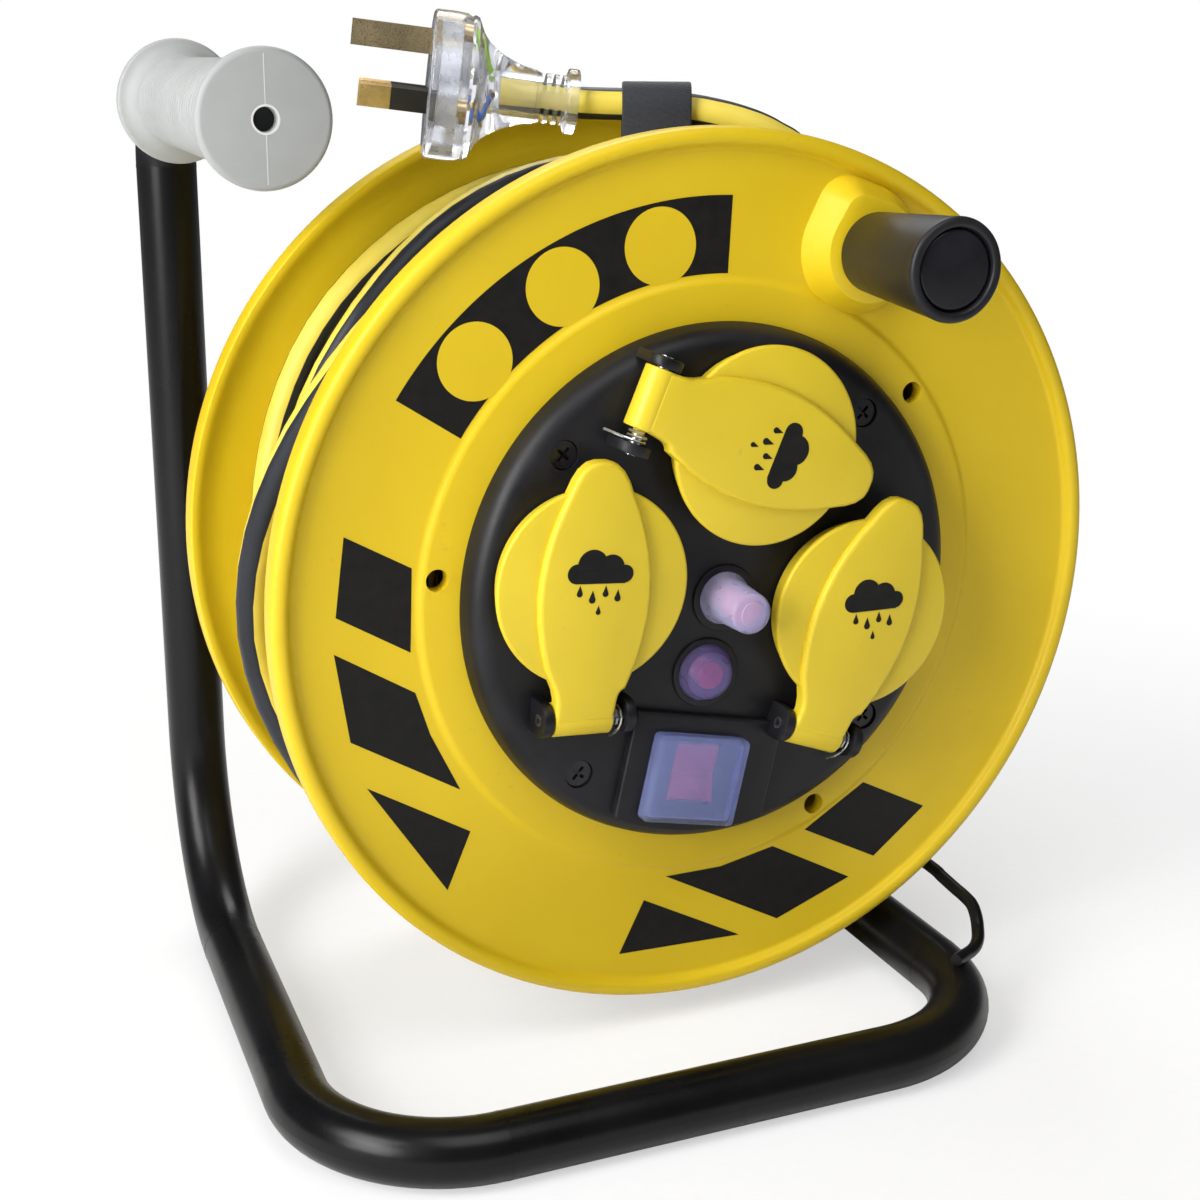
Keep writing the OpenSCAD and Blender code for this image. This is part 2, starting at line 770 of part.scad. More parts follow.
module socket_panel() {
    edge = 4;
    color(c_black) difference() {
        union() {
            turned([
                [0, panel_y], [panel_r - edge, panel_y], [panel_r - 1.3, panel_y + 1.3],
                [panel_r, panel_y + edge], [panel_r, band_y], [panel_r - panel_t, band_y],
                [panel_r - panel_t, panel_y + edge], [panel_r - edge - 1, panel_y + panel_t],
                [0, panel_y + panel_t]
            ]);
            panel_pad();
            screw_ring() rod_y(lug_r, panel_y + panel_t - 0.5, band_y);
            for (at = covers) cover_place(at) hinge_ears();
            // Collars round the two button holes
            on_panel(overload_at) cylinder(r = tall_boot_r + 2.6, h = 0.8);
            on_panel(test_at) cylinder(r = low_boot_r + 2, h = 0.8);
        }
        for (at = covers) cover_place(at) {
            translate([0, 0, -panel_t - 1]) cylinder(r = outlet_body_r + 0.1, h = panel_t + 2);
            hinge_place() translate([0, 0, ear_1 - 1])
                cylinder(r = pin_r, h = ear_2 + ear_t - ear_1 + 2);
        }
        switch_hole();
        on_panel(overload_at) translate([0, 0, -panel_t - 1])
            cylinder(r = tall_boot_r + 0.9, h = panel_t + 3);
        on_panel(test_at) translate([0, 0, -panel_t - 1])
            cylinder(r = low_boot_r + 0.5, h = panel_t + 3);
        screw_ring() {
            rod_y(screw_head_r + 0.3, panel_y - 1, panel_y + 2.8);
            rod_y(screw_r + 0.2, panel_y - 1, band_y + 1);
        }
    }
}

module panel_screws() {
    y = panel_y + 2.8;
    head_t = 2;
    color(c_black) screw_ring() difference() {
        union() {
            rod_y(screw_head_r, y - head_t, y);
            rod_y(screw_r - 0.05, y, front_in + 9);
        }
        for (a = [0, 90])
            rotate([0, a, 0]) translate([-2, y - head_t - 1, -0.4]) cube([4, 2, 0.8]);
    }
}

module blade_slots(w, t, h) {
    for (i = [0:2])
        rotate(pin_turns[i]) translate([pin_radii[i], 0, 0])
            rotate(pin_spins[i] - pin_turns[i]) translate([-w / 2, -t / 2, 0]) cube([w, t, h]);
}

module outlet(at) {
    slot_deep = 20;
    color(c_black) cover_place(at) difference() {
        union() {
            cylinder(r = outlet_r, h = outlet_h);
            translate([0, 0, -outlet_deep]) cylinder(r = outlet_body_r, h = outlet_deep);
        }
        translate([0, 0, outlet_h - slot_deep]) blade_slots(7.2, 2.4, slot_deep + 1);
    }
}

module outlet_contacts() {
    color(c_brass) for (at = covers) cover_place(at)
        translate([0, 0, outlet_h - 19.9]) difference() {
            blade_slots(7, 2.3, 12);
            translate([0, 0, 2]) blade_slots(6.5, 1.3, 12);
        }
}

module hinge_pins() {
    color(c_steel) for (at = covers) cover_place(at) hinge_place()
        translate([0, 0, ear_1 - 0.2]) difference() {
            cylinder(r = pin_r, h = ear_2 + ear_t - ear_1 + 0.4);
            translate([0, 0, -1]) cylinder(r = pin_r - 0.6, h = ear_2 + ear_t - ear_1 + 3);
        }
}

// Two turns round the pin, then a leg that bears on the panel.
function spring_points() = let (
    r = pin_r + 0.5 + spring_wire_r,
    from = barrel_from + barrel_l + hinge_gap + spring_wire_r,
    low = r
) concat(
    [for (i = [0:16]) let (a = 90 + 45 * i)
        [from + spring_pitch * i / 8, -hinge_at + r * cos(a), hinge_h + r * sin(a)]],
    [for (k = [1:4]) [from + 2 * spring_pitch, -hinge_at - 1.7 * k, hinge_h + low - 0.4 * k * k]]
);

module hinge_springs() {
    color(c_steel) for (at = covers) cover_place(at)
        swept(spring_points(), spring_wire_r, 6, [1, 0.01, 0]);
}

module cover(at) {
    color(c_yellow) cover_place(at) difference() {
        union() {
            translate([0, 0, plate_h]) cylinder(r = cover_r, h = cover_t);
            difference() {
                translate([0, 0, 0.7]) cylinder(r = skirt_r + skirt_t, h = plate_h - 0.7 + eps);
                cylinder(r = skirt_r, h = plate_h);
            }
            translate([0, 0, plate_h]) linear_extrude(leaf_y - plate_h) leaf_outline();
            hinge_place() translate([0, 0, barrel_from]) cylinder(r = barrel_r, h = barrel_l);
            translate([barrel_from, -hinge_at, plate_h])
                cube([barrel_l, hinge_at - cover_r + 4, leaf_y - plate_h]);
        }
        hinge_place() translate([0, 0, barrel_from - 1])
            cylinder(r = pin_r + run_gap, h = barrel_l + 2);
    }
}

module seal(at) {
    color(c_black) cover_place(at) translate([0, 0, outlet_h + seal_gap]) difference() {
        cylinder(r = skirt_r - 0.2, h = plate_h - outlet_h - seal_gap);
        translate([0, 0, -1]) cylinder(r = skirt_r - 3.6, h = plate_h);
    }
}

// ---- switch and buttons ----

module rocker_outline() {
    intersection() {
        circle(rocker_l / 2, $fn = 128);
        polygon([
            [-rocker_l, rocker_end + 1.7], [0, rocker_mid], [rocker_l, rocker_end + 1.7],
            [rocker_l, -2.5], [-rocker_l, -2.5]
        ]);
    }
}

module switch_rocker() {
    color(c_red) on_panel(switch_at, switch_turn) translate([0, 0, pivot_h])
        rotate([rocker_rest, 0, 0]) {
            rotate([90, 0, 90]) translate([0, 0, -rocker_w / 2]) linear_extrude(rocker_w)
                difference() {
                    rocker_outline();
                    circle(1.5 + run_gap);
                }
        }
}

module switch_body() {
    deep = switch_deep;
    wall = 1.8;
    color(c_black) on_panel(switch_at, switch_turn) {
        difference() {
            translate([0, 0, -deep]) linear_extrude(deep + pad_h)
                square([rocker_w + 4, rocker_l + 2.4], center = true);
            translate([0, 0, -14]) linear_extrude(deep + pad_h)
                square([rocker_w + 0.4, rocker_l + 0.4], center = true);
        }
        translate([-rocker_w / 2 - wall, 0, pivot_h]) rotate([0, 90, 0])
            cylinder(r = 1.5, h = rocker_w + 2 * wall);
        for (x = [-5, 0, 5])
            translate([x - 2.4, -0.4, -deep - 8]) cube([4.8, 0.8, 8]);
    }
}

module square_block(l, w, h, cut) {
    // A block with its upper edges cut back
    translate([-l / 2, -w / 2, 0]) cube([l, w, h - cut]);
    for (i = [0:2])
        translate([-l / 2 + cut * (i + 1) / 3.2, -w / 2 + cut * (i + 1) / 3.2, h - cut])
            cube([l - 2 * cut * (i + 1) / 3.2, w - 2 * cut * (i + 1) / 3.2, cut * sin(30 * (i + 1))]);
}

module switch_boot() {
    color(c_boot) on_panel(switch_at, switch_turn) translate([0, -boot_drop, pad_h]) difference() {
        square_block(square_boot_l, square_boot_w, square_boot_h, 1.5);
        translate([0, 0, -1]) linear_extrude(square_boot_h + 1 - boot_t)
            square([square_boot_l - 2 * boot_t - 2, square_boot_w - 2 * boot_t], center = true);
    }
}

module overload_button() {
    color(c_red) on_panel(overload_at) translate([0, 0, -8])
        cylinder(r = overload_r, h = 8 + tall_boot_h - boot_t - 3.2);
}

module overload_body() {
    color(c_black) on_panel(overload_at) difference() {
        translate([0, 0, -overload_deep])
            cylinder(r = tall_boot_r + 0.8, h = overload_deep - panel_t + 2);
        translate([0, 0, -13]) cylinder(r = overload_r + run_gap, h = overload_deep);
    }
}

module overload_boot() {
    tip = tall_boot_r - 1.4;
    out = [
        [0, -0.9], [tall_boot_r + 0.8, -0.9], [tall_boot_r + 0.8, 0.9], [tall_boot_r + 0.2, 1.6],
        [tall_boot_r - 0.2, tall_boot_h - 2], [tip, tall_boot_h - 0.8],
        [tip - 1, tall_boot_h - 0.8], [tip - 1, tall_boot_h], [0, tall_boot_h]
    ];
    color(c_boot) on_panel(overload_at) difference() {
        rotate_extrude() polygon(out);
        translate([0, 0, -2]) cylinder(r = tall_boot_r - 0.2 - boot_t, h = tall_boot_h);
    }
}

module test_button() {
    color(c_red) on_panel(test_at) translate([0, 0, -8])
        cylinder(r = test_r, h = 8 + low_boot_h - boot_t - 0.6);
}

module test_body() {
    color(c_black) on_panel(test_at) difference() {
        translate([0, 0, -test_deep]) cylinder(r = low_boot_r + 0.4, h = test_deep - panel_t + 2);
        translate([0, 0, -test_deep / 2]) cylinder(r = test_r + run_gap, h = test_deep);
    }
}

module test_boot() {
    dome = 1.6;
    color(c_boot) on_panel(test_at) difference() {
        rotate_extrude() polygon([
            [0, -0.9], [low_boot_r + 0.4, -0.9], [low_boot_r + 0.4, 0.8], [low_boot_r, 1.2],
            [low_boot_r, low_boot_h - dome], [low_boot_r - 0.6, low_boot_h - 0.6],
            [low_boot_r - 2, low_boot_h], [0, low_boot_h]
        ]);
        translate([0, 0, -2]) cylinder(r = test_r + 1.2, h = low_boot_h + 2 - boot_t);
    }
}

module terminal_block() {
    color(c_nylon) translate([23, outlet_back + 0.05, -14.5]) difference() {
        cube([26, block_t, 14]);
        for (i = [0:2]) translate([4.5 + 8.5 * i, -1, 7]) rotate([-90, 0, 0])
            cylinder(r = 1.2, h = 5);
    }
}

module inner_wires() {
    // Three conductors: to the left outlet, the top outlet and the switch
    wire = 1.2;
    wire_colours = [[0.45, 0.27, 0.12], [0.15, 0.3, 0.7], [0.3, 0.6, 0.2]];
    from = outlet_back + block_t + 0.1;
    to = outlet_back + 0.1;
    paths = [
        [[27.5, from, -7.5], [27.5, 34, -7.5], [-34, 34, -7.5], [-34, 34, 6], [-34, to, 6]],
        [[36, from, -7.5], [36, 38, -7.5], [36, 38, 36], [8, 38, 36], [8, to, 36]],
        [[44.5, from, -7.5], [44.5, 42, -7.5], [-8.3, 42, -7.5], [-8.3, 42, -47], [-8.3, 24.2, -47]]
    ];
    for (i = [0:2])
        color(wire_colours[i]) bent_tube(paths[i], [3, 3, 3], wire);
}

// ---- knob ----

module knob_spindle() {
    head_y = boss_y - knob_l + 6.5;
    color(c_steel) knob_place() {
        rod_y(spindle_r, head_y, front_in);
        rod_y(spindle_r + 2.6, head_y - 1.6, head_y);
        rod_y(spindle_r + 2, front_in, front_in + 1.2);
    }
}

module knob() {
    y0 = boss_y - 0.3;
    y1 = boss_y - knob_l;
    head_y = boss_y - knob_l + 6.5;
    color(c_black) knob_place() difference() {
        turned([
            [0, y0], [knob_base_r - 0.8, y0], [knob_base_r, y0 - 0.8],
            [knob_end_r - 0.1, y1 + 2.4], [knob_end_r, y1 + 1.6], [knob_end_r - 0.9, y1 + 0.3],
            [knob_end_r - 1.6, y1], [0, y1]
        ]);
        rod_y(spindle_r + run_gap, head_y - 1, y0 + 1);
        rod_y(spindle_r + 3.2, y1 + 1.8, head_y + 0.2);
        rod_y(knob_cap_r, y1 - 1, y1 + 2.4);
    }
}

module knob_cap() {
    y1 = boss_y - knob_l;
    color(c_black) knob_place() difference() {
        rod_y(knob_cap_r - 0.05, y1 + 0.9, y1 + 2.4);
        rod_y(knob_cap_r - 1.4, y1 - 1, y1 + 1.3);
    }
}

// ---- cable ----

// A point on the winding's centre line, t turns from its start at the back.
function wind_point(t) = let (
    a = wind_end + 360 * (t - wind_n),
    climb = min(max((t - layer_n) / climb_n, 0), 1),
    rise = (1 - cos(180 * climb)) / 2,
    over = t < layer_n + climb_n ? 0 : max(0, 1 - pow((t - bump_at) / 0.12, 2)),
    r = layer_r + (last_r - layer_r) * rise + bump * over,
    back = pow(max(0, t - turn_back) / (wind_n - turn_back), 0.75) * last_back,
    y = wind_back - wind_pitch * min(t, turn_back) + back
) [r * cos(a), y, r * sin(a)];

// The turns, with a straight run at each end.
function winding_points() = let (
    count = ceil(wind_n * turn_rings),
    turns = [for (i = [0:count]) wind_point(min(i / turn_rings, wind_n))],
    first = unit(turns[1] - turns[0])
) concat(
    [turns[0] - straight_l * first], turns,
    [for (k = [1:4]) turns[count] + tail_l * k / 4 * tail_dir]
);

// The least gap between turns, from points on the centre line at least half a turn apart.
function least_gap(points) = min([
    for (i = [0:len(points) - 1])
        for (j = [i + turn_rings / 2:1:min(len(points) - 1, i + 2 * turn_rings)])
            norm(points[i] - points[j])
]) - 2 * cable_r;

echo(least_gap_between_turns = least_gap(wound));

module winding_layer() {
    color(c_yellow) swept(wound, cable_r, tube_sides, [0, 1, 0]);
}

module winding_core() {
    color(c_black) ring_y(core_r, drum_r + 0.45, front_in + 1.6, rear_in - 0.4);
}

module lead_cable() {
    into = [relief_end - 1.6 * plug_dir, relief_end - 0.05 * plug_dir];
    color(c_yellow) swept(concat([lead_start], lead_route, into), cable_r, 8);
}

module lead_strap() {
    // A tall loop round the lead that stands on the winding
    low = layer_r + cable_r + 0.4;
    half = cable_r + 0.45;
    top = strap_mid[2];
    turn = atan2(strap_dir[1], -strap_dir[0]);
    color(c_black) translate([strap_mid[0], strap_mid[1], 0]) rotate([0, 0, -turn])
        translate([-strap_l / 2, 0, 0]) rotate([90, 0, 90]) linear_extrude(strap_l) difference() {
            union() {
                translate([0, top]) circle(half + strap_t);
                translate([-half - strap_t, low]) square([2 * (half + strap_t), top - low]);
            }
            translate([0, top]) circle(half);
            translate([-half, low + strap_t]) square([2 * half, top - low - strap_t]);
        }
}

// ---- plug ----

module plug_place() {
    along(face_at, -plug_dir) rotate(180) children();
}

module plug_body() {
    from = plug_t + 1.5;
    long = plug_l - from;
    neck = [
        for (i = [0:6])
            let (k = i / 6)
            let (r = 15.6 - (15.6 - relief_r - 0.2) * sin(90 * k))
            [r, from + long * (0.62 * (1 - cos(90 * k)) + 0.38 * k)]
    ];
    color(c_clear) plug_place() difference() {
        rotate_extrude() polygon(concat(
            [[0, 0], [plug_r - 0.8, 0], [plug_r, 0.8], [plug_r, plug_t - 1]],
            [[plug_r - 1, plug_t], [16.2, plug_t + 0.6]],
            neck,
            [[0, plug_l]]
        ));
        translate([0, 0, 2.5]) cylinder(r = 13, h = 6.5);
        translate([0, 0, 8]) cylinder(r = cable_r + 0.1, h = plug_l);
        for (i = [0:2]) rotate(pin_turns[i]) translate([pin_radii[i], 0, -1])
            rotate(pin_spins[i] - pin_turns[i]) translate([-blade_w / 2 - 0.05, -blade_t / 2 - 0.05, 0])
                cube([blade_w + 0.1, blade_t + 0.1, pin_root + 1.2]);
    }
}

module plug_core() {
    color(c_clear) plug_place() difference() {
        translate([0, 0, 2.6]) cylinder(r = 12.8, h = 4.4);
        translate([0, 0, 0]) blade_slots(blade_w + 0.1, blade_t + 0.1, 9);
    }
}

module pin_place(i) {
    plug_place() rotate(pin_turns[i]) translate([pin_radii[i], 0, 0])
        rotate(pin_spins[i] - pin_turns[i]) children();
}

module pin_bar(grow, low, high) {
    w = blade_w + 2 * grow;
    t = blade_t + 2 * grow;
    translate([-w / 2, -t / 2, low]) cube([w, t, high - low]);
}

module plug_pins() {
    color(c_brass) for (i = [0:2]) pin_place(i) {
        pin_bar(0, -pin_lengths[i], i < 2 ? -sleeve_l : pin_root);
        if (i < 2) {
            pin_bar(-0.3, -sleeve_l - eps, pin_root);
            pin_bar(0, 2.6, pin_root);
        }
    }
}

module pin_sleeves() {
    color(c_black) for (i = [0:1]) pin_place(i) difference() {
        pin_bar(0, -sleeve_l, 2.5);
        pin_bar(-0.3, -sleeve_l - 1, 3);
    }
}

module plug_wires() {
    wire_colours = [[0.45, 0.27, 0.12], [0.15, 0.35, 0.8], [0.4, 0.7, 0.25]];
    for (i = [0:2])
        color(wire_colours[i]) plug_place() rotate(pin_turns[i])
            translate([1.9, 0, 7.1]) cylinder(r = 1.1, h = plug_l - 8);
}

module strain_relief() {
    slot = 1.1;
    color(c_clear) plug_place() translate([0, 0, plug_l + 0.01]) difference() {
        union() {
            cylinder(r = relief_r, h = relief_l - 3);
            translate([0, 0, relief_l - 3.2]) cylinder(r = relief_r + 1.8, h = 3.19);
        }
        translate([0, 0, -1]) cylinder(r = cable_r + 0.1, h = relief_l - 0.2);
        translate([0, 0, -1]) cylinder(r = cable_r - 0.6, h = relief_l + 2);
        for (k = [0:2], s = [-1, 1])
            translate([-relief_r - 1, s > 0 ? 2 : -relief_r - 3, 1 + 2.5 * k])
                cube([2 * relief_r + 2, relief_r + 1, slot]);
    }
}

// ---- nodes ----

at_reel() frame_tube();
at_reel() stay_wire();
at_reel() carry_grip();
at_reel() tube_caps();
at_reel() axle();
at_reel() axle_plate();
at_reel() thrust_washers();
at_reel() retaining_ring();
at_reel() front_flange();
at_reel() rear_flange();
at_reel() drum_core();
at_reel() hub_bush();
at_reel() rear_screws();
at_reel() socket_panel();
at_reel() panel_screws();
at_reel() outlet(cover_left_at);  // outlet_left
at_reel() outlet(cover_top_at);  // outlet_top
at_reel() outlet(cover_right_at);  // outlet_right
at_reel() outlet_contacts();
at_reel() terminal_block();
at_reel() inner_wires();
at_reel() cable_gland();
at_reel() switch_body();
at_reel() switch_rocker();
at_reel() switch_boot();
at_reel() overload_body();
at_reel() overload_button();
at_reel() overload_boot();
at_reel() test_body();
at_reel() test_button();
at_reel() test_boot();
at_reel() hinge_pins();
at_reel() hinge_springs();
at_reel() cover(cover_left_at);  // cover_left
at_reel() cover(cover_top_at);  // cover_top
at_reel() cover(cover_right_at);  // cover_right
at_reel() seal(cover_left_at);  // seal_left
at_reel() seal(cover_top_at);  // seal_top
at_reel() seal(cover_right_at);  // seal_right
at_reel() knob_spindle();
at_reel() knob();
at_reel() knob_cap();
at_reel() winding_core();
at_reel() winding_layer();
at_reel() lead_cable();
at_reel() lead_strap();
at_reel() plug_body();
at_reel() plug_core();
at_reel() plug_pins();
at_reel() pin_sleeves();
at_reel() plug_wires();
at_reel() strain_relief();
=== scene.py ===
"""Extension cord reel.

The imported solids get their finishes, and the moulded, wound and clear pieces are modelled again
in full. Sizes are in millimetres on the reel's own axes unless a comment says otherwise.
"""

import math

import bmesh
import bpy
from mathutils import Matrix, Vector


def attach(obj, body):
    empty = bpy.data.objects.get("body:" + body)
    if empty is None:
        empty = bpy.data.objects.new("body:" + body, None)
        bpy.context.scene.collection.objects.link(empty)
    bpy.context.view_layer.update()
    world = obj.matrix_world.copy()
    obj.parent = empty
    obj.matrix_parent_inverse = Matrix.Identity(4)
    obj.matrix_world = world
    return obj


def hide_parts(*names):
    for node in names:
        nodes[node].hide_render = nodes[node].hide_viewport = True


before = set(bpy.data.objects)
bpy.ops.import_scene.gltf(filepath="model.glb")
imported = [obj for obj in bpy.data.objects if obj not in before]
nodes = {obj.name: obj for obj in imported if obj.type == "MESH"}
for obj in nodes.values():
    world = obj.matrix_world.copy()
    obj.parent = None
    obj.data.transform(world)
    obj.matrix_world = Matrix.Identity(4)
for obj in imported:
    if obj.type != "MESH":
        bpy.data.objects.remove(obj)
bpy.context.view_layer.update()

# Where the reel's axis meets the plane of its front rim, in metres, and the way there.
REEL = Vector((0.0049, -0.03585, 0.1208))
ROW = Matrix.Translation(REEL) @ Matrix.Scale(0.001, 4)

FLANGE_R = 112.5
REEL_W = 93.6
PANEL_Y = -6.0
KNOB_X, KNOB_Z = 39.74, 82.2
SCREW_AT = 57.3
SCREW_FIRST = 48
SHANK_HOLE_R = 1.95
HEAD_HOLE_R = 3.7
# Turns a block's length, width and height to lie along X, Y and Z of its place.
ON_ITS_SIDE = Matrix(((0, 0, 1, 0), (1, 0, 0, 0), (0, 1, 0, 0), (0, 0, 0, 1)))
# Turns a piece that was spun round the Y axis upright, to stand along Z.
UPRIGHT = Matrix.Rotation(math.radians(90), 4, "X")


def at(x, y, z):
    """A point of the reel, in metres."""
    return REEL + Vector((x, y, z)) * 0.001


def on_panel(x, z, turn=0.0):
    """A frame on the socket panel: X right, Y up the panel, Z out of its face."""
    place = Matrix.Translation((x, PANEL_Y, z)) @ UPRIGHT
    return ROW @ place @ Matrix.Rotation(math.radians(turn), 4, "Z")


def screw_spots():
    """The X and Z of the four screws that hold the reel together."""
    for k in range(4):
        a = math.radians(SCREW_FIRST + 90 * k)
        yield SCREW_AT * math.cos(a), SCREW_AT * math.sin(a)


# ---- camera, lamps and floor ----


def place_camera():
    """A camera turned to the right, looking down and rolled a little."""
    turn = math.radians(23.59)
    drop = math.radians(16.86)
    roll = math.radians(0.52)
    ahead = Vector(
        (math.sin(turn) * math.cos(drop), math.cos(turn) * math.cos(drop), -math.sin(drop))
    )
    level = Vector((math.cos(turn), -math.sin(turn), 0))
    above = level.cross(ahead)
    right = math.cos(roll) * level + math.sin(roll) * above
    up = math.cos(roll) * above - math.sin(roll) * level
    camera = bpy.data.objects.new("camera", bpy.data.cameras.new("camera"))
    bpy.context.scene.collection.objects.link(camera)
    camera.data.sensor_width = 36
    camera.data.lens = 59.4135
    axes = Matrix((right, up, -ahead)).transposed().to_4x4()
    camera.matrix_world = Matrix.Translation(at(-216.5, -425.8, 140.7)) @ axes
    bpy.context.scene.camera = camera


def lamp(name, size, watts, spot, target):
    """A square lamp at a spot, turned to its target; both are in metres."""
    light = bpy.data.lights.new(name, "AREA")
    light.size = size
    light.energy = watts
    piece = bpy.data.objects.new(name, light)
    bpy.context.scene.collection.objects.link(piece)
    piece.location = spot
    piece.rotation_mode = "QUATERNION"
    piece.rotation_quaternion = (Vector(target) - Vector(spot)).to_track_quat("-Z", "Y")


def light_the_studio():
    """Four soft lamps, and a world that is white to the eye and dim on the reel."""
    middle = (0, 0, 0.12)
    lamp("key_lamp", 0.6, 11.5, (-1.05, -0.3, 0.95), middle)
    lamp("front_lamp", 0.5, 2.6, (-0.05, -0.45, 0.85), middle)
    lamp("gap_lamp", 0.4, 5.5, (-0.8, -0.4, 0.35), middle)
    lamp("back_lamp", 0.8, 9.0, (0.2, 0.9, 1.2), middle)
    world = bpy.data.worlds.new("studio")
    bpy.context.scene.world = world
    world.use_nodes = True
    tree = world.node_tree
    tree.nodes.clear()
    path = tree.nodes.new("ShaderNodeLightPath")
    white = tree.nodes.new("ShaderNodeBackground")
    white.inputs["Color"].default_value = (1, 1, 1, 1)
    white.inputs["Strength"].default_value = 1.0
    soft = tree.nodes.new("ShaderNodeBackground")
    soft.inputs["Color"].default_value = (0.96, 0.98, 1.0, 1)
    soft.inputs["Strength"].default_value = 0.1
    seen = tree.nodes.new("ShaderNodeMath")
    seen.operation = "MAXIMUM"
    mix = tree.nodes.new("ShaderNodeMixShader")
    out = tree.nodes.new("ShaderNodeOutputWorld")
    tree.links.new(path.outputs["Is Camera Ray"], seen.inputs[0])
    tree.links.new(path.outputs["Is Transmission Ray"], seen.inputs[1])
    tree.links.new(seen.outputs[0], mix.inputs[0])
    tree.links.new(soft.outputs[0], mix.inputs[1])
    tree.links.new(white.outputs[0], mix.inputs[2])
    tree.links.new(mix.outputs[0], out.inputs["Surface"])


# ---- finishes ----


class Finish:
    """A material's node tree, with short ways to add the nodes that the finishes share."""

    def __init__(self, name):
        self.material = bpy.data.materials.new(name)
        self.material.use_nodes = True
        self.tree = self.material.node_tree
        self.shader = self.tree.nodes["Principled BSDF"]
        self.coords = self.tree.nodes.new("ShaderNodeTexCoord")

    def node(self, kind, **settings):
        made = self.tree.nodes.new(kind)
        for key, value in settings.items():
            setattr(made, key, value)
        return made

    def link(self, source, target):
        self.tree.links.new(source, target)

    def noise(self, scale, detail=2.0, rough=0.5, source=None, stretch=None):
        made = self.node("ShaderNodeTexNoise")
        made.inputs["Scale"].default_value = scale
        made.inputs["Detail"].default_value = detail
        made.inputs["Roughness"].default_value = rough
        source = source or self.coords.outputs["Object"]
        if stretch:
            mapping = self.node("ShaderNodeMapping")
            mapping.inputs["Scale"].default_value = stretch
            self.link(source, mapping.inputs["Vector"])
            source = mapping.outputs["Vector"]
        self.link(source, made.inputs["Vector"])
        return made.outputs["Fac"]

    def ramp(self, value, stops, step=False):
        made = self.node("ShaderNodeValToRGB")
        if step:
            made.color_ramp.interpolation = "CONSTANT"
        while len(made.color_ramp.elements) < len(stops):
            made.color_ramp.elements.new(0.5)
        for element, (place, colour) in zip(made.color_ramp.elements, stops):
            element.position = place
            element.color = (*colour, 1)
        self.link(value, made.inputs["Fac"])
        return made.outputs["Color"]

    def span(self, value, low, high):
        """value from 0.3 to 0.7 becomes low to high."""
        made = self.node("ShaderNodeMapRange")
        made.inputs["From Min"].default_value = 0.3
        made.inputs["From Max"].default_value = 0.7
        made.inputs["To Min"].default_value = low
        made.inputs["To Max"].default_value = high
        self.link(value, made.inputs["Value"])
        return made.outputs["Result"]

    def math(self, operation, first, second):
        made = self.node("ShaderNodeMath", operation=operation)
        for socket, value in zip(made.inputs, (first, second)):
            if isinstance(value, (int, float)):
                socket.default_value = value
            else:
                self.link(value, socket)
        return made.outputs[0]

    def mix(self, factor, first, second):
        made = self.node("ShaderNodeMix", data_type="RGBA")
        # A colour Mix node keeps its factor at 0 and its two colours at 6 and 7.
        sockets = (made.inputs[0], made.inputs[6], made.inputs[7])
        for socket, value in zip(sockets, (factor, first, second)):
            if isinstance(value, tuple):
                socket.default_value = (*value, 1)
            elif isinstance(value, (int, float)):
                socket.default_value = value
            else:
                self.link(value, socket)
        return made.outputs[2]

    def set(self, **values):
        for key, value in values.items():
            socket = self.shader.inputs[key.replace("_", " ")]
            if isinstance(value, tuple):
                socket.default_value = (*value, 1)
            elif isinstance(value, (int, float)):
                socket.default_value = value
            else:
                self.link(value, socket)
        return self

    def bump(self, *layers):
        """Each layer is (height, strength, distance in metres)."""
        normal = None
        for height, strength, distance in layers:
            made = self.node("ShaderNodeBump")
            made.inputs["Strength"].default_value = strength
            made.inputs["Distance"].default_value = distance
            self.link(height, made.inputs["Height"])
            if normal:
                self.link(normal, made.inputs["Normal"])
            normal = made.outputs["Normal"]
        self.link(normal, self.shader.inputs["Normal"])
        return self


def moulded_yellow(name, roughness, deep, bright):
    """Satin yellow plastic: flow clouds, a fine pebble and rubbed patches."""
    f = Finish(name)
    clouds = f.noise(14, 3, 0.6)
    rubbed = f.noise(70, 5, 0.65, stretch=(1, 3, 1))
    specks = f.noise(420, 2, 0.5)
    base = f.ramp(clouds, [(0.3, deep), (0.7, bright)])
    dust = f.ramp(specks, [(0.7, (0, 0, 0)), (0.78, (1, 1, 1))])
    base = f.mix(f.math("MULTIPLY", dust, 0.25), base, (0.42, 0.33, 0.06))
    pebble = f.noise(2600, 2, 0.5)
    f.set(Base_Color=base, Roughness=f.span(rubbed, roughness - 0.05, roughness + 0.09), IOR=1.46)
    f.set(Specular_IOR_Level=0.4)
    f.bump((pebble, 0.12, 0.00006), (f.noise(90, 3, 0.5), 0.06, 0.0004))
    return f.material


def moulded_black(name, colour, roughness, grain, strength):
    """Black plastic with a spark-eroded grain and faint grey handling marks."""
    f = Finish(name)
    smudge = f.noise(45, 4, 0.6)
    fine = f.noise(grain, 3, 0.6)
    lifted = tuple(min(1, c * 2.1 + 0.006) for c in colour)
    base = f.ramp(smudge, [(0.35, colour), (0.75, lifted)])
    f.set(Base_Color=base, Roughness=f.span(smudge, roughness - 0.05, roughness + 0.1), IOR=1.46)
    f.set(Specular_IOR_Level=0.35)
    f.bump((fine, strength, 0.00012))
    return f.material


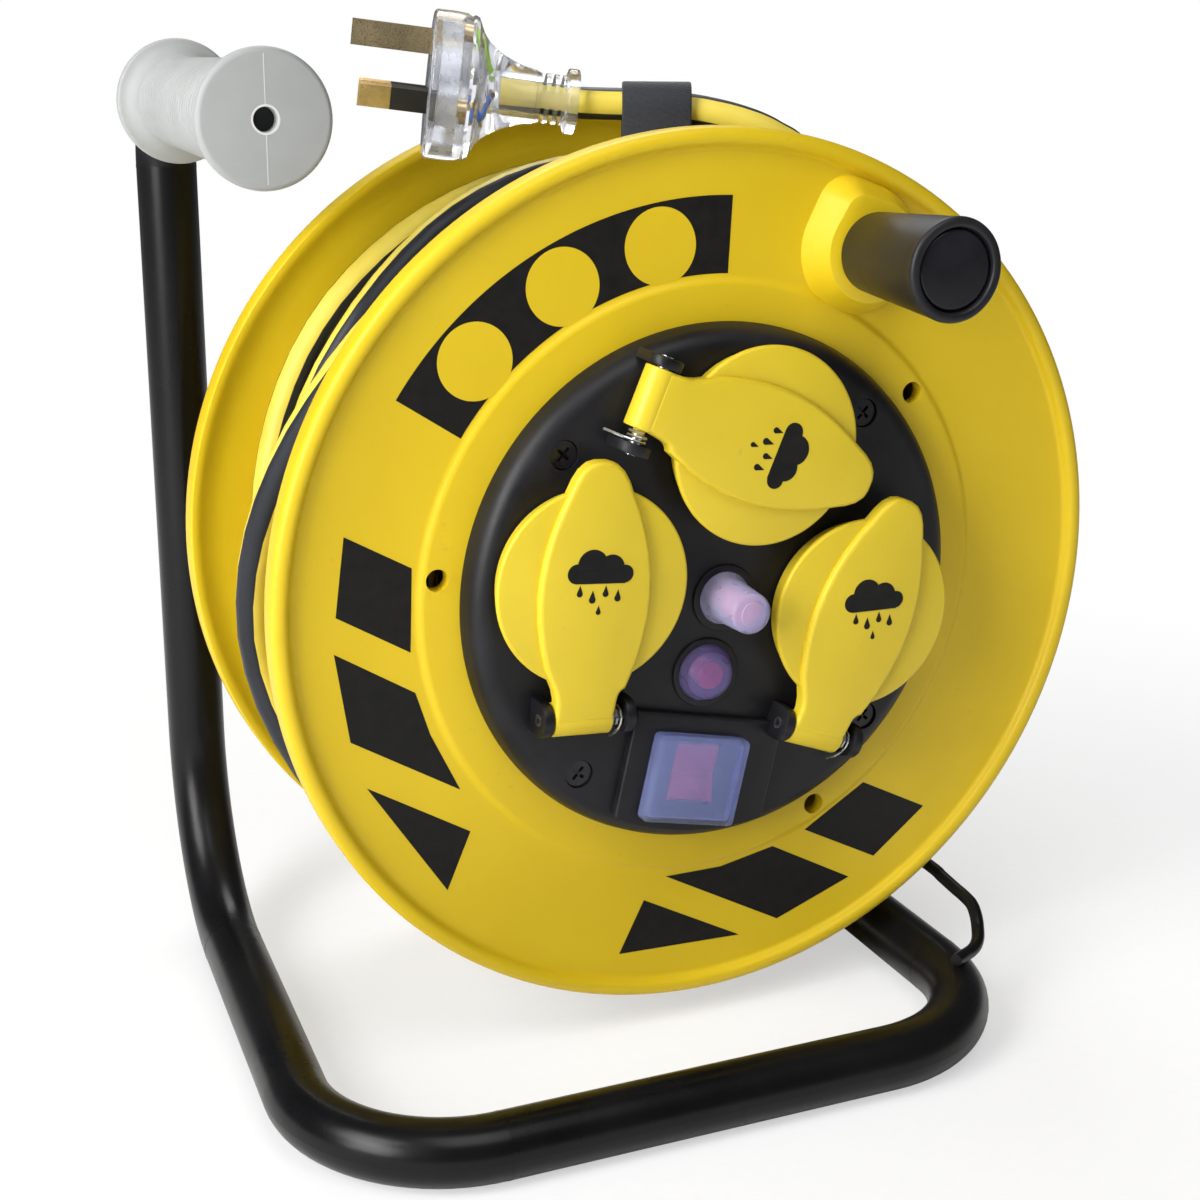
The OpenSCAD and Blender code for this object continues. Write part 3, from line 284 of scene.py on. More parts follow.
def powder_coat():
    """Satin black coat on the tube: fine orange peel and a few dull rubs."""
    f = Finish("frame_coat")
    peel = f.noise(650, 2, 0.5)
    dull = f.noise(26, 4, 0.6, stretch=(1, 1, 0.4))
    base = f.ramp(dull, [(0.35, (0.003, 0.003, 0.0035)), (0.75, (0.007, 0.007, 0.008))])
    f.set(Base_Color=base, Roughness=f.span(dull, 0.24, 0.36), IOR=1.5)
    f.set(Specular_IOR_Level=0.2, Coat_Weight=0.06, Coat_Roughness=0.2)
    f.bump((peel, 0.1, 0.0002), (f.noise(60, 2, 0.5), 0.05, 0.0006))
    return f.material


def grip_grey(name, deep, bright):
    """Pale grey moulding, matt, with a few darker specks."""
    f = Finish(name)
    clouds = f.noise(30, 4, 0.6)
    fine = f.noise(1800, 3, 0.6)
    base = f.ramp(clouds, [(0.3, deep), (0.7, bright)])
    specks = f.ramp(f.noise(350, 2, 0.5), [(0.72, (0, 0, 0)), (0.8, (1, 1, 1))])
    base = f.mix(f.math("MULTIPLY", specks, 0.3), base, (0.3, 0.3, 0.28))
    f.set(Base_Color=base, Roughness=f.span(clouds, 0.5, 0.64), IOR=1.46)
    f.bump((fine, 0.15, 0.0001))
    return f.material


def metal(name, colour, roughness, brushed=(1, 1, 1)):
    """Plated or drawn metal with fine lines and a few dull spots."""
    f = Finish(name)
    lines = f.noise(900, 3, 0.7, stretch=brushed)
    spots = f.noise(160, 3, 0.5)
    dark = tuple(c * 0.72 for c in colour)
    f.set(Base_Color=f.ramp(spots, [(0.35, dark), (0.6, colour)]), Metallic=1.0)
    f.set(Roughness=f.span(lines, roughness - 0.08, roughness + 0.1))
    f.bump((lines, 0.08, 0.00005))
    return f.material


def sheath():
    """Cable sheath in four stripes round it, yellow and black in turn."""
    f = Finish("cable_sheath")
    split = f.node("ShaderNodeSeparateXYZ")
    f.link(f.coords.outputs["UV"], split.inputs[0])
    wander = f.math("MULTIPLY", f.math("SUBTRACT", f.noise(18, 2, 0.5), 0.5), 0.1)
    around = f.math("MULTIPLY", split.outputs[1], 2.0)
    phase = f.math("ADD", around, wander)
    wave = f.math("PINGPONG", phase, 0.5)
    black = f.math("MULTIPLY", f.math("SUBTRACT", wave, 0.25), 90.0)
    black = f.math("ADD", black, 0.5)
    black.node.use_clamp = True
    clouds = f.noise(60, 3, 0.6)
    yellow = f.ramp(clouds, [(0.3, (0.68, 0.53, 0.06)), (0.7, (0.78, 0.62, 0.09))])
    dark = f.ramp(clouds, [(0.3, (0.007, 0.008, 0.012)), (0.7, (0.014, 0.016, 0.023))])
    f.set(Base_Color=f.mix(black, yellow, dark), Roughness=f.span(clouds, 0.4, 0.52), IOR=1.46)
    f.set(Specular_IOR_Level=0.4)
    f.bump((f.noise(900, 2, 0.5), 0.07, 0.0001))
    return f.material


def clear_moulding():
    """Clear plug moulding, faintly lilac, with swirls from the mould."""
    f = Finish("clear_moulding")
    swirl = f.noise(140, 3, 0.5)
    f.set(Base_Color=f.ramp(swirl, [(0.3, (0.86, 0.88, 0.97)), (0.7, (0.97, 0.98, 1.0))]))
    f.set(Roughness=f.span(swirl, 0.04, 0.12), IOR=1.38, Transmission_Weight=0.93)
    f.bump((f.noise(260, 2, 0.5), 0.12, 0.0004))
    return f.material


def milky_insert():
    """Frosted insert inside the plug."""
    f = Finish("milky_insert")
    swirl = f.noise(300, 3, 0.5)
    f.set(Base_Color=f.ramp(swirl, [(0.3, (0.7, 0.74, 0.84)), (0.7, (0.9, 0.92, 0.97))]))
    f.set(Roughness=f.span(swirl, 0.2, 0.35), IOR=1.38, Transmission_Weight=0.7)
    f.bump((f.noise(500, 2, 0.5), 0.2, 0.0003))
    return f.material


def silicone(name, hue, clear):
    """Milky silicone of the boots, seen through to the red beneath."""
    f = Finish(name)
    haze = f.noise(220, 3, 0.5)
    pale = tuple(min(1, c * 1.1) for c in hue)
    f.set(Base_Color=f.ramp(haze, [(0.3, hue), (0.7, pale)]))
    f.set(Roughness=f.span(haze, 0.07, 0.13), IOR=1.16, Transmission_Weight=clear)
    f.bump((f.noise(160, 2, 0.5), 0.03, 0.0001))
    return f.material


def red_moulding():
    """Glossy red plastic of the rocker and the two buttons."""
    f = Finish("button_red")
    clouds = f.noise(200, 2, 0.5)
    f.set(Base_Color=f.ramp(clouds, [(0.3, (0.62, 0.02, 0.03)), (0.7, (0.78, 0.04, 0.05))]))
    f.set(Roughness=f.span(clouds, 0.25, 0.4))
    f.bump((f.noise(1500, 2, 0.5), 0.08, 0.0001))
    return f.material


def printed_black():
    """Pad-printed ink, thin and a little uneven at its edges."""
    f = Finish("printed_black")
    uneven = f.noise(300, 4, 0.6)
    f.set(Base_Color=f.ramp(uneven, [(0.3, (0.005, 0.005, 0.005)), (0.75, (0.012, 0.011, 0.01))]))
    f.set(Roughness=f.span(uneven, 0.42, 0.56), Specular_IOR_Level=0.2)
    f.bump((f.noise(2600, 2, 0.5), 0.1, 0.00006))
    return f.material


def strap_fabric():
    """Woven black strap with a napped face."""
    f = Finish("strap_fabric")
    weave = f.node("ShaderNodeTexWave", wave_type="BANDS", bands_direction="DIAGONAL")
    weave.inputs["Scale"].default_value = 420
    weave.inputs["Distortion"].default_value = 3
    f.link(f.coords.outputs["Object"], weave.inputs["Vector"])
    nap = f.noise(1400, 4, 0.7)
    f.set(Base_Color=f.ramp(nap, [(0.3, (0.008, 0.009, 0.013)), (0.7, (0.03, 0.032, 0.04))]))
    f.set(Roughness=f.span(nap, 0.7, 0.9), Sheen_Weight=0.25, Sheen_Roughness=0.4)
    f.bump((weave.outputs["Fac"], 0.25, 0.0002), (nap, 0.3, 0.00025))
    return f.material


def insulation(name, colour):
    """Smooth plastic in one colour, a little uneven."""
    f = Finish(name)
    clouds = f.noise(150, 2, 0.5)
    dark = tuple(c * 0.8 for c in colour)
    f.set(Base_Color=f.ramp(clouds, [(0.3, dark), (0.7, colour)]))
    f.set(Roughness=f.span(clouds, 0.28, 0.42))
    f.bump((f.noise(1600, 2, 0.5), 0.06, 0.0001))
    return f.material


YELLOW = moulded_yellow("reel_yellow", 0.42, (0.66, 0.46, 0.008), (0.72, 0.51, 0.012))
COVER_YELLOW = moulded_yellow("cover_yellow", 0.36, (0.66, 0.49, 0.022), (0.73, 0.55, 0.03))
PANEL_BLACK = moulded_black("panel_black", (0.004, 0.004, 0.0055), 0.42, 1500, 0.35)
KNOB_BLACK = moulded_black("knob_black", (0.006, 0.006, 0.0075), 0.36, 1100, 0.2)
GLOSS_BLACK = moulded_black("gloss_black", (0.006, 0.006, 0.008), 0.14, 500, 0.04)
SWITCH_BLACK = moulded_black("switch_black", (0.012, 0.012, 0.014), 0.34, 1500, 0.15)
RUBBER = moulded_black("seal_rubber", (0.014, 0.014, 0.015), 0.62, 800, 0.3)
FRAME_COAT = powder_coat()
GRIP_GREY = grip_grey("grip_grey", (0.31, 0.32, 0.315), (0.37, 0.38, 0.375))
# The grip's own plastic made about twice as pale: a painted highlight for the hole's chamfer and
# the parting seams.
GRIP_PAINTED_HIGHLIGHT = grip_grey("grip_painted_highlight", (0.6, 0.6, 0.58), (0.68, 0.68, 0.66))
STEEL = metal("zinc_steel", (0.62, 0.63, 0.65), 0.32)
AXLE_STEEL = metal("axle_steel", (0.6, 0.6, 0.62), 0.28, (1, 12, 1))
BRASS = metal("pin_brass", (0.66, 0.52, 0.3), 0.3, (1, 6, 6))
SHEATH = sheath()
CLEAR = clear_moulding()
MILKY = milky_insert()
SILICONE = silicone("tall_silicone", (0.68, 0.66, 0.9), 0.72)
LOW_SILICONE = silicone("low_silicone", (0.5, 0.42, 0.78), 0.84)
BLUE_SILICONE = silicone("switch_silicone", (0.5, 0.56, 0.9), 0.82)
RED = red_moulding()
PRINT = printed_black()
STRAP = strap_fabric()
NYLON = insulation("natural_nylon", (0.78, 0.76, 0.68))
BROWN = insulation("wire_brown", (0.2, 0.08, 0.03))
BLUE = insulation("wire_blue", (0.03, 0.16, 0.6))
GREEN = insulation("wire_green", (0.3, 0.55, 0.05))


def white_floor():
    """White paper: it keeps the reel's shadow and fades to plain white away from it."""
    f = Finish("floor_white")
    grain = f.noise(300, 2, 0.5)
    f.set(Base_Color=f.ramp(grain, [(0.3, (0.92, 0.92, 0.92)), (0.7, (0.95, 0.95, 0.95))]))
    f.set(Roughness=0.95, Specular_IOR_Level=0.05)
    path = f.node("ShaderNodeLightPath")
    plain = f.node("ShaderNodeEmission")
    spread = f.node("ShaderNodeVectorMath", operation="LENGTH")
    f.link(f.coords.outputs["Object"], spread.inputs[0])
    away = f.node("ShaderNodeMapRange")
    away.inputs["From Min"].default_value = 0.12
    away.inputs["From Max"].default_value = 0.42
    away.inputs["To Min"].default_value = 0.55
    f.link(spread.outputs["Value"], away.inputs["Value"])
    share = f.math("MULTIPLY", away.outputs["Result"], path.outputs["Is Camera Ray"])
    mix = f.node("ShaderNodeMixShader")
    f.link(share, mix.inputs[0])
    f.link(f.shader.outputs[0], mix.inputs[1])
    f.link(plain.outputs[0], mix.inputs[2])
    f.link(mix.outputs[0], f.tree.nodes["Material Output"].inputs["Surface"])
    return f.material


# ---- mesh helpers ----


def trace(bm, start, steps, closed=True):
    """Draws an outline in the XY plane: a step is a point, or an arc's (middle, degrees, parts)."""
    first = bm.verts.new((start[0], start[1], 0))
    last = first
    for step in steps:
        if len(step) == 2:
            new = bm.verts.new((step[0], step[1], 0))
            bm.edges.new((last, new))
            last = new
        else:
            middle, degrees, parts = step
            made = bmesh.ops.spin(
                bm,
                geom=[last],
                cent=(middle[0], middle[1], 0),
                axis=(0, 0, 1),
                angle=math.radians(degrees),
                steps=parts,
                use_duplicate=False,
            )
            last = [g for g in made["geom_last"] if isinstance(g, bmesh.types.BMVert)][0]
    if closed:
        if (last.co - first.co).length < 1e-4:
            bmesh.ops.pointmerge(bm, verts=[first, last], merge_co=first.co)
        else:
            bm.edges.new((last, first))


def turned(start, steps, parts=96, closed=True):
    """A profile of (radius, depth) spun round the Y axis."""
    bm = bmesh.new()
    trace(bm, start, steps, closed)
    bmesh.ops.spin(
        bm,
        geom=bm.verts[:] + bm.edges[:],
        cent=(0, 0, 0),
        axis=(0, 1, 0),
        angle=2 * math.pi,
        steps=parts,
        use_merge=True,
    )
    bmesh.ops.remove_doubles(bm, verts=bm.verts, dist=1e-4)
    bmesh.ops.dissolve_degenerate(bm, edges=bm.edges, dist=1e-5)
    bmesh.ops.recalc_face_normals(bm, faces=bm.faces)
    return bm


def raised(start, steps, low, high, fillet=0.0, parts=3, under=0.0):
    """An outline made a block from low to high along Z, its upper edges rounded."""
    bm = bmesh.new()
    trace(bm, start, steps)
    face = bmesh.ops.contextual_create(bm, geom=bm.edges[:])["faces"][0]
    if face.normal.z > 0:
        face.normal_flip()
    bmesh.ops.translate(bm, verts=bm.verts, vec=(0, 0, low))
    made = bmesh.ops.extrude_face_region(bm, geom=[face], use_keep_orig=True)
    top = [g for g in made["geom"] if isinstance(g, bmesh.types.BMVert)]
    bmesh.ops.translate(bm, verts=top, vec=(0, 0, high - low))
    bmesh.ops.recalc_face_normals(bm, faces=bm.faces)
    for level, size in ((high, fillet), (low, under)):
        if size:
            around = [
                e
                for e in bm.edges
                if all(abs(v.co.z - level) < 1e-5 for v in e.verts) and len(e.link_faces) == 2
            ]
            bmesh.ops.bevel(
                bm,
                geom=around,
                offset=size,
                segments=parts,
                profile=0.5,
                affect="EDGES",
                clamp_overlap=True,
                material=-1,
            )
    return bm


def box(low, high, fillet=0.0, parts=2):
    bm = bmesh.new()
    bmesh.ops.create_cube(bm, size=1)
    size = Vector(high) - Vector(low)
    middle = (Vector(high) + Vector(low)) / 2
    bmesh.ops.scale(bm, vec=size, verts=bm.verts)
    bmesh.ops.translate(bm, vec=middle, verts=bm.verts)
    if fillet:
        bmesh.ops.bevel(
            bm,
            geom=bm.edges[:],
            offset=fillet,
            segments=parts,
            profile=0.5,
            affect="EDGES",
            material=-1,
        )
    return bm


def rod(radius, low, high, sides=48, fillet=0.0, along="Z"):
    """A rod between two depths on an axis, with rounded ends if a fillet is given."""
    bm = bmesh.new()
    bmesh.ops.create_cone(
        bm, cap_ends=True, segments=sides, radius1=radius, radius2=radius, depth=high - low
    )
    bmesh.ops.translate(bm, vec=(0, 0, (low + high) / 2), verts=bm.verts)
    if fillet:
        rims = [e for e in bm.edges if abs(e.verts[0].co.z - e.verts[1].co.z) < 1e-5]
        bmesh.ops.bevel(
            bm,
            geom=rims,
            offset=fillet,
            segments=3,
            profile=0.5,
            affect="EDGES",
            material=-1,
        )
    if along != "Z":
        turn = Matrix.Rotation(math.radians(90), 4, {"X": "Y", "Y": "X"}[along])
        bmesh.ops.transform(bm, matrix=turn, verts=bm.verts)
        if along == "Y":
            bmesh.ops.scale(bm, vec=(1, -1, 1), verts=bm.verts)
            bmesh.ops.reverse_faces(bm, faces=bm.faces)
    return bm


def joined(*parts):
    """One bmesh of several (bmesh, matrix) shells."""
    whole = bmesh.new()
    for bm, matrix in parts:
        bmesh.ops.transform(bm, matrix=matrix, verts=bm.verts)
        shell = bpy.data.meshes.new("shell")
        bm.to_mesh(shell)
        bm.free()
        whole.from_mesh(shell)
        bpy.data.meshes.remove(shell)
    return whole


def smooth(mesh, angle):
    """Smooth shading, with a sharp edge wherever two faces meet at more than the angle."""
    mesh.shade_smooth()
    mesh.set_sharp_from_angle(angle=math.radians(angle))


def piece(bm, name, finish, body, matrix=ROW, stands_for=(), slot=None, sharp=32):
    """Settles a bmesh as a piece of the object that rides on a body."""
    bmesh.ops.transform(bm, matrix=matrix, verts=bm.verts)
    mesh = bpy.data.meshes.new(name)
    bm.to_mesh(mesh)
    bm.free()
    smooth(mesh, sharp)
    mesh.materials.append(finish)
    made = bpy.data.objects.new(name, mesh)
    bpy.context.scene.collection.objects.link(made)
    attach(made, body)
    if stands_for:
        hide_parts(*stands_for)
    return made


def cut(target, *cutters, sharp=32, mode="DIFFERENCE"):
    """Takes the cutters, bmeshes in metres, out of a piece."""
    tool_bm = joined(*[(c, Matrix.Identity(4)) for c in cutters])
    tool_mesh = bpy.data.meshes.new("cutter")
    tool_bm.to_mesh(tool_mesh)
    tool_bm.free()
    tool = bpy.data.objects.new("cutter", tool_mesh)
    bpy.context.scene.collection.objects.link(tool)
    change = target.modifiers.new("cut", "BOOLEAN")
    change.operation = mode
    change.solver = "EXACT"
    change.use_self = True
    change.object = tool
    bpy.context.view_layer.update()
    shown = target.evaluated_get(bpy.context.evaluated_depsgraph_get())
    mesh = bpy.data.meshes.new_from_object(shown)
    target.modifiers.clear()
    old = target.data
    target.data = mesh
    bpy.data.meshes.remove(old)
    bpy.data.objects.remove(tool)
    bpy.data.meshes.remove(tool_mesh)
    smooth(mesh, sharp)


def moved(bm, matrix):
    """The same bmesh, at its new place."""
    bmesh.ops.transform(bm, matrix=matrix, verts=bm.verts)
    return bm


def dress(finish, *names):
    """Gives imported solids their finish."""
    for name in names:
        mesh = nodes[name].data
        mesh.materials.clear()
        mesh.materials.append(finish)


def wire_piece(name, points, radius, finish, body, stands_for=(), round_parts=4):
    """A curve through points in metres, thick as a wire or cable."""
    curve = bpy.data.curves.new(name, "CURVE")
    curve.dimensions = "3D"
    # The tube's radius is held by its points, so the curve's box is no larger than the tube.
    curve.bevel_depth = 1.0
    curve.bevel_resolution = round_parts
    curve.use_fill_caps = True
    curve.twist_mode = "MINIMUM"
    line = curve.splines.new("POLY")
    line.points.add(len(points) - 1)
    for spot, point in zip(line.points, points):
        spot.co = (*point, 1)
        spot.radius = radius
    line.use_smooth = True
    curve.materials.append(finish)
    made = bpy.data.objects.new(name, curve)
    bpy.context.scene.collection.objects.link(made)
    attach(made, body)
    if stands_for:
        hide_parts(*stands_for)
    return made


def rounded_route(points, parts):
    """A smooth line through the points of a route, with parts steps between each two."""
    line = []
    for i in range(len(points) - 1):
        a = points[max(i - 1, 0)]
        b = points[i]
        c = points[i + 1]
        d = points[min(i + 2, len(points) - 1)]
        for k in range(parts):
            t = k / parts
            line.append(
                0.5
                * (
                    2 * b
                    + (c - a) * t
                    + (2 * a - 5 * b + 4 * c - d) * t * t
                    + (3 * b - a - 3 * c + d) * t * t * t
                )
            )
    line.append(points[-1])
    return line


# ---- cable ----

CABLE_R = 4.0
# The outer layer: its radius, its first and last depth, and eight pitches between them.
LAYER_R = 96.2
WIND_FRONT = 13.1
WIND_BACK = 82.9
PITCH = (WIND_BACK - WIND_FRONT) / 8
# Where the winding ends, in degrees from the right, and the outer layer's turns up to there.
WIND_END = 52.0
WIND_N = 6 + 0.5 + 0.94
# The last turn lies on top of the outer layer, and a straight tail leaves it for the lead.
LAST_R = LAYER_R + 2 * CABLE_R + 0.6
TAIL_L = 35.6
TAIL = Vector(
    (-math.sin(math.radians(WIND_END)), 0.17, math.cos(math.radians(WIND_END)))
).normalized()
# The plug: its direction, the cable's end of its strain relief, and the face of its pins.
PLUG_DIR = Vector((-0.950, 0.291, 0.119)).normalized()
RELIEF_END = Vector((-15.9, 51, 115.7))
FACE = RELIEF_END + 38 * PLUG_DIR


# Where the outer layer's cable moves forward: from and to, in turns, and by how many pitches.
# The first three are uneven, and four even ones share what is left of the eight pitches.
FIRST_STEPS = [(0.45, 0.6, 0.39), (0.67, 0.84, 1.61), (1.55, 1.7, 1.97)]
LATER_STEP = (8 - sum(n for _, _, n in FIRST_STEPS)) / 4
STEPS = FIRST_STEPS + [(k + 0.54, k + 0.73, LATER_STEP) for k in range(2, 6)]

# The last turn, which lies over the others: (degrees, depth, radius).
LAST_TURN = [
    (74, 12.0, 104.8),
    (100, 10.5, 105.8),
    (125, 10.8, 105.8),
    (134, 12.4, 105.8),
    (143, 16.4, 105.8),
    (150, 20.8, 105.8),
    (157, 26.4, 105.8),
    (164, 32.0, 105.8),
    (171, 37.4, 106.0),
    (179, 42.4, 106.5),
    (188, 45.2, 107.2),
    (197, 44.2, 107.4),
    (208, 38.6, 106.8),
    (226, 28.6, 105.8),
    (250, 20.4, 104.8),
    (275, 17.2, 104.8),
    (300, 17.6, 104.8),
    (330, 20.8, 104.8),
    (355, 22.8, 104.8),
    (378, 23.2, 104.8),
    (398, 23.3, 104.8),
    (412, 25.48, 104.8),
]

# Where the yellow stripe faces, in degrees from outwards to the front: (turns, degrees).
STRIPE_AIM = [
    (0.0, 32),
    (1.0, 32),
    (1.35, -16),
    (6.1, -16),
    (6.35, 10),
    (6.62, 6),
    (6.72, -24),
    (6.78, -50),
    (7.0, -55),
    (7.15, -30),
    (7.4, 85),
    (7.6, 85),
]


def eased(x):
    """0 to 1 as x goes from 0 to 1, level at both ends."""
    x = min(max(x, 0), 1)
    return x * x * (3 - 2 * x)


def read_off(table, x, column=1):
    """A value of a table at x, on a smooth line through its rows."""
    last = len(table) - 1
    i = 0
    while i < last - 1 and x > table[i + 1][0]:
        i += 1
    a, b = table[i], table[i + 1]
    before, after = table[max(i - 1, 0)], table[min(i + 2, last)]
    width = b[0] - a[0]
    t = (x - a[0]) / width
    rise_a = (b[column] - before[column]) / (b[0] - before[0]) * width
    rise_b = (after[column] - a[column]) / (after[0] - a[0]) * width
    return (
        a[column] * (1 + 2 * t) * (1 - t) ** 2
        + rise_a * t * (1 - t) ** 2
        + b[column] * t * t * (3 - 2 * t)
        - rise_b * t * t * (1 - t)
    )


def outer_point(t):
    """A point on the outer layer, t turns from its start at the back."""
    degrees = WIND_END + 360 * (t - WIND_N)
    turn = math.radians(degrees)
    last_degrees = degrees + 360
    if last_degrees >= LAST_TURN[0][0]:
        depth = read_off(LAST_TURN, last_degrees, 1)
        radius = read_off(LAST_TURN, last_degrees, 2)
    else:
        pitches = sum(n * eased((t - a) / (b - a)) for a, b, n in STEPS)
        climb = eased((t - 6) / 0.5)
        depth = WIND_BACK - PITCH * pitches - 1.1 * climb
        # The second turn rides up where it crosses forward.
        bump = eased(1 - abs(t - 1.63) / 0.24)
        radius = LAYER_R + 2.8 * bump + (LAST_R - LAYER_R) * climb
    return Vector((radius * math.cos(turn), depth, radius * math.sin(turn)))


def inner_turns():
    """The four layers under the outer one, from the gland in the drum outwards."""
    layers = [
        (64.2, 60.0, WIND_FRONT),
        (72.2, WIND_FRONT, WIND_BACK),
        (80.2, WIND_BACK, WIND_FRONT),
        (88.2, WIND_FRONT, WIND_BACK),
    ]
    spots = []
    passed = 0.0
    for i, (radius, low, high) in enumerate(layers):
        turns = abs(high - low) / PITCH
        count = round(turns * 36)
        spots += [
            (passed + turns * k / count, radius, low + (high - low) * k / count)
            for k in range(count)
        ]
        passed += turns
        above = layers[i + 1][0] if i < 3 else LAYER_R
        spots += [
            (
                passed + 0.5 * k / 18,
                radius + (above - radius) * (1 - math.cos(math.pi * k / 18)) / 2,
                high,
            )
            for k in range(18)
        ]
        passed += 0.5
    line = []
    for t, radius, depth in spots:
        turn = math.radians(WIND_END + 360 * (t - passed - WIND_N))
        line.append(Vector((radius * math.cos(turn), depth, radius * math.sin(turn))))
    return line


def wound_line():
    """The wound cable's points, and the way its yellow stripe faces at each."""
    inner = inner_turns()
    entry = inner[0]
    lean = (inner[0] - inner[1]).normalized()
    inward = -Vector((entry.x, 0, entry.z)).normalized()
    start = [entry + lean * 9 * k + inward * 0.9 * k * k for k in (3, 2, 1)]
    count = round(WIND_N * 72)
    places = [WIND_N * i / count for i in range(count + 1)]
    outer = [outer_point(t) for t in places]
    tail = [outer[-1] + TAIL * TAIL_L * k / 8 for k in range(1, 9)]
    # Under the outer layer the yellow stripe faces outwards and a little to the back, so the black
    # stripe faces the front: painted shade that keeps the gaps between the outer turns dark.
    hidden = [aim_at(p, -26) for p in start + inner]
    aims = [aim_at(p, read_off(STRIPE_AIM, t)) for p, t in zip(outer, places)]
    line = [at(*p) for p in start + inner + outer + tail]
    return line, hidden + aims + [aims[-1]] * len(tail)


def aim_at(point, degrees):
    """The direction at a point of the winding, in degrees from outwards to the front."""
    outward = Vector((point.x, 0, point.z)).normalized()
    turn = math.radians(degrees)
    return outward * math.cos(turn) + Vector((0, -1, 0)) * math.sin(turn)


def aim_stripes(made, points, aims):
    """Turns a cable's section at each point so that a yellow stripe faces the given way."""
    sides = 2 * made.data.bevel_resolution + 4
    line = made.data.splines[0].points
    last = len(points) - 1
    # The two end caps come first among the vertices.
    for _ in range(2):
        bpy.context.view_layer.update()
        shown = made.evaluated_get(bpy.context.evaluated_depsgraph_get())
        mesh = bpy.data.meshes.new_from_object(shown)
        before = 0.0
        for i, (spot, point, aim) in enumerate(zip(line, points, aims)):
            along = (points[min(i + 1, last)] - points[max(i - 1, 0)]).normalized()
            seam = mesh.vertices[(i + 2) * sides].co - point
            seam = seam - along * seam.dot(along)
            aim = aim - along * aim.dot(along)
            tilt = spot.tilt + math.atan2(along.dot(seam.cross(aim)), seam.dot(aim))
            spot.tilt = tilt - 2 * math.pi * round((tilt - before) / (2 * math.pi))
            before = spot.tilt
        bpy.data.meshes.remove(mesh)


def lead_points():
    """The lead's route in metres, from the end of the winding to inside the plug."""
    start = outer_point(WIND_N) + TAIL * TAIL_L
    route = [
        (31.9, 32.7, 107.4),
        (29.2, 33.5, 108.9),
        (26.3, 34.5, 110.2),
        (23.2, 35.7, 111.3),
        (19.9, 37.1, 112.3),
        (16.5, 38.6, 113.1),
        (13.1, 40.1, 113.8),
        (9.7, 41.5, 114.3),
        (6.3, 42.8, 114.7),
        (3, 44, 115),
        (-1, 45.5, 115.2),
        (-5.5, 47.2, 115.4),
        (-10.5, 49.1, 115.5),
    ]
    inside = [RELIEF_END + PLUG_DIR * k for k in (0, 5, 10, 16, 21)]
    spots = [start, start + 3 * TAIL, *[Vector(p) for p in route], *inside]
    return [at(*p) for p in spots]


def lay_the_cable():
    """The wound cable and the lead, with their stripes turned to the front."""
    line, aims = wound_line()
    winding = wire_piece(
        "wound_cable",
        line,
        CABLE_R * 0.001,
        SHEATH,
        "reel",
        stands_for=("winding_layer", "winding_core"),
        round_parts=5,
    )
    aim_stripes(winding, line, aims)
    route = rounded_route(lead_points(), 4)
    lead = wire_piece(
        "lead",
        route,
        CABLE_R * 0.001,
        SHEATH,
        "frame",
        stands_for=("lead_cable",),
        round_parts=7,
    )
    aim_stripes(lead, route, [Vector((0, -1, 0.12))] * len(route))
    return winding, lead, route


# ---- reel body ----


def flange_shape(inner):
    """A flange with the reel's front at depth 0: web, soft step, groove and rounded rim."""
    steps = [
        (75.0, 1.5),
        (75.5, 1.56),
        (76.0, 1.74),
        (76.4, 2.0),
        (76.8, 2.26),
        (77.3, 2.44),
        (77.8, 2.5),
        (106.9, 2.5),
        (107.5, 2.38),
        (107.9, 2.05),
        (108.15, 1.6),
        (108.35, 1.1),
        (108.65, 0.62),
        (109.05, 0.26),
        (109.55, 0.06),
        (110.1, 0.0),
        (110.9, 0.08),
        (111.6, 0.38),
        (112.1, 0.85),
        (112.4, 1.4),
        (FLANGE_R, 2.0),
        (FLANGE_R, 6.9),
        (112.35, 7.5),
        (112.0, 7.9),
        (111.4, 8.0),
        (110.6, 7.95),
        (109.9, 7.7),
        (109.2, 7.3),
        (108.4, 6.85),
        (107.4, 6.4),
        (106.2, 6.0),
        (104.6, 5.7),
        (102.6, 5.5),
        (inner, 5.5),
    ]
    return turned((inner, 1.5), steps, 224)


def teardrop_boss():
    """The raised seat of the winding knob, drawn out to the rim."""
    bm = bmesh.new()
    levels = [
        (12.0, 3.9, -5.0),
        (12.5, 4.4, -4.8),
        (12.75, 4.7, -4.3),
        (13.9, 6.0, -0.8),
        (14.7, 6.9, 1.4),
        (15.4, 7.7, 2.2),
        (16.4, 8.8, 2.55),
    ]
    # Each level is a large circle round the spindle and a small one towards the rim.
    for big, small, depth in levels:
        for x, z, radius in ((0, 0, big), (-3.8, 9.5, small)):
            made = bmesh.ops.create_circle(bm, radius=radius, segments=56)
            bmesh.ops.rotate(
                bm,
                verts=made["verts"],
                cent=(0, 0, 0),
                matrix=Matrix.Rotation(math.radians(90), 3, "X"),
            )
            bmesh.ops.translate(bm, verts=made["verts"], vec=(x, depth, z))
    made = bmesh.ops.convex_hull(bm, input=bm.verts)
    loose = [g for g in made["geom_interior"] if isinstance(g, bmesh.types.BMVert)]
    bmesh.ops.delete(bm, geom=loose, context="VERTS")
    bmesh.ops.dissolve_limit(bm, angle_limit=0.02, verts=bm.verts, edges=bm.edges)
    bmesh.ops.recalc_face_normals(bm, faces=bm.faces)
    return bm


def hole_y(x, z, radius, low, high, sides=40):
    """A cutter for a hole along the reel's axis."""
    return moved(rod(radius, low, high, sides, along="Y"), ROW @ Matrix.Translation((x, 0, z)))


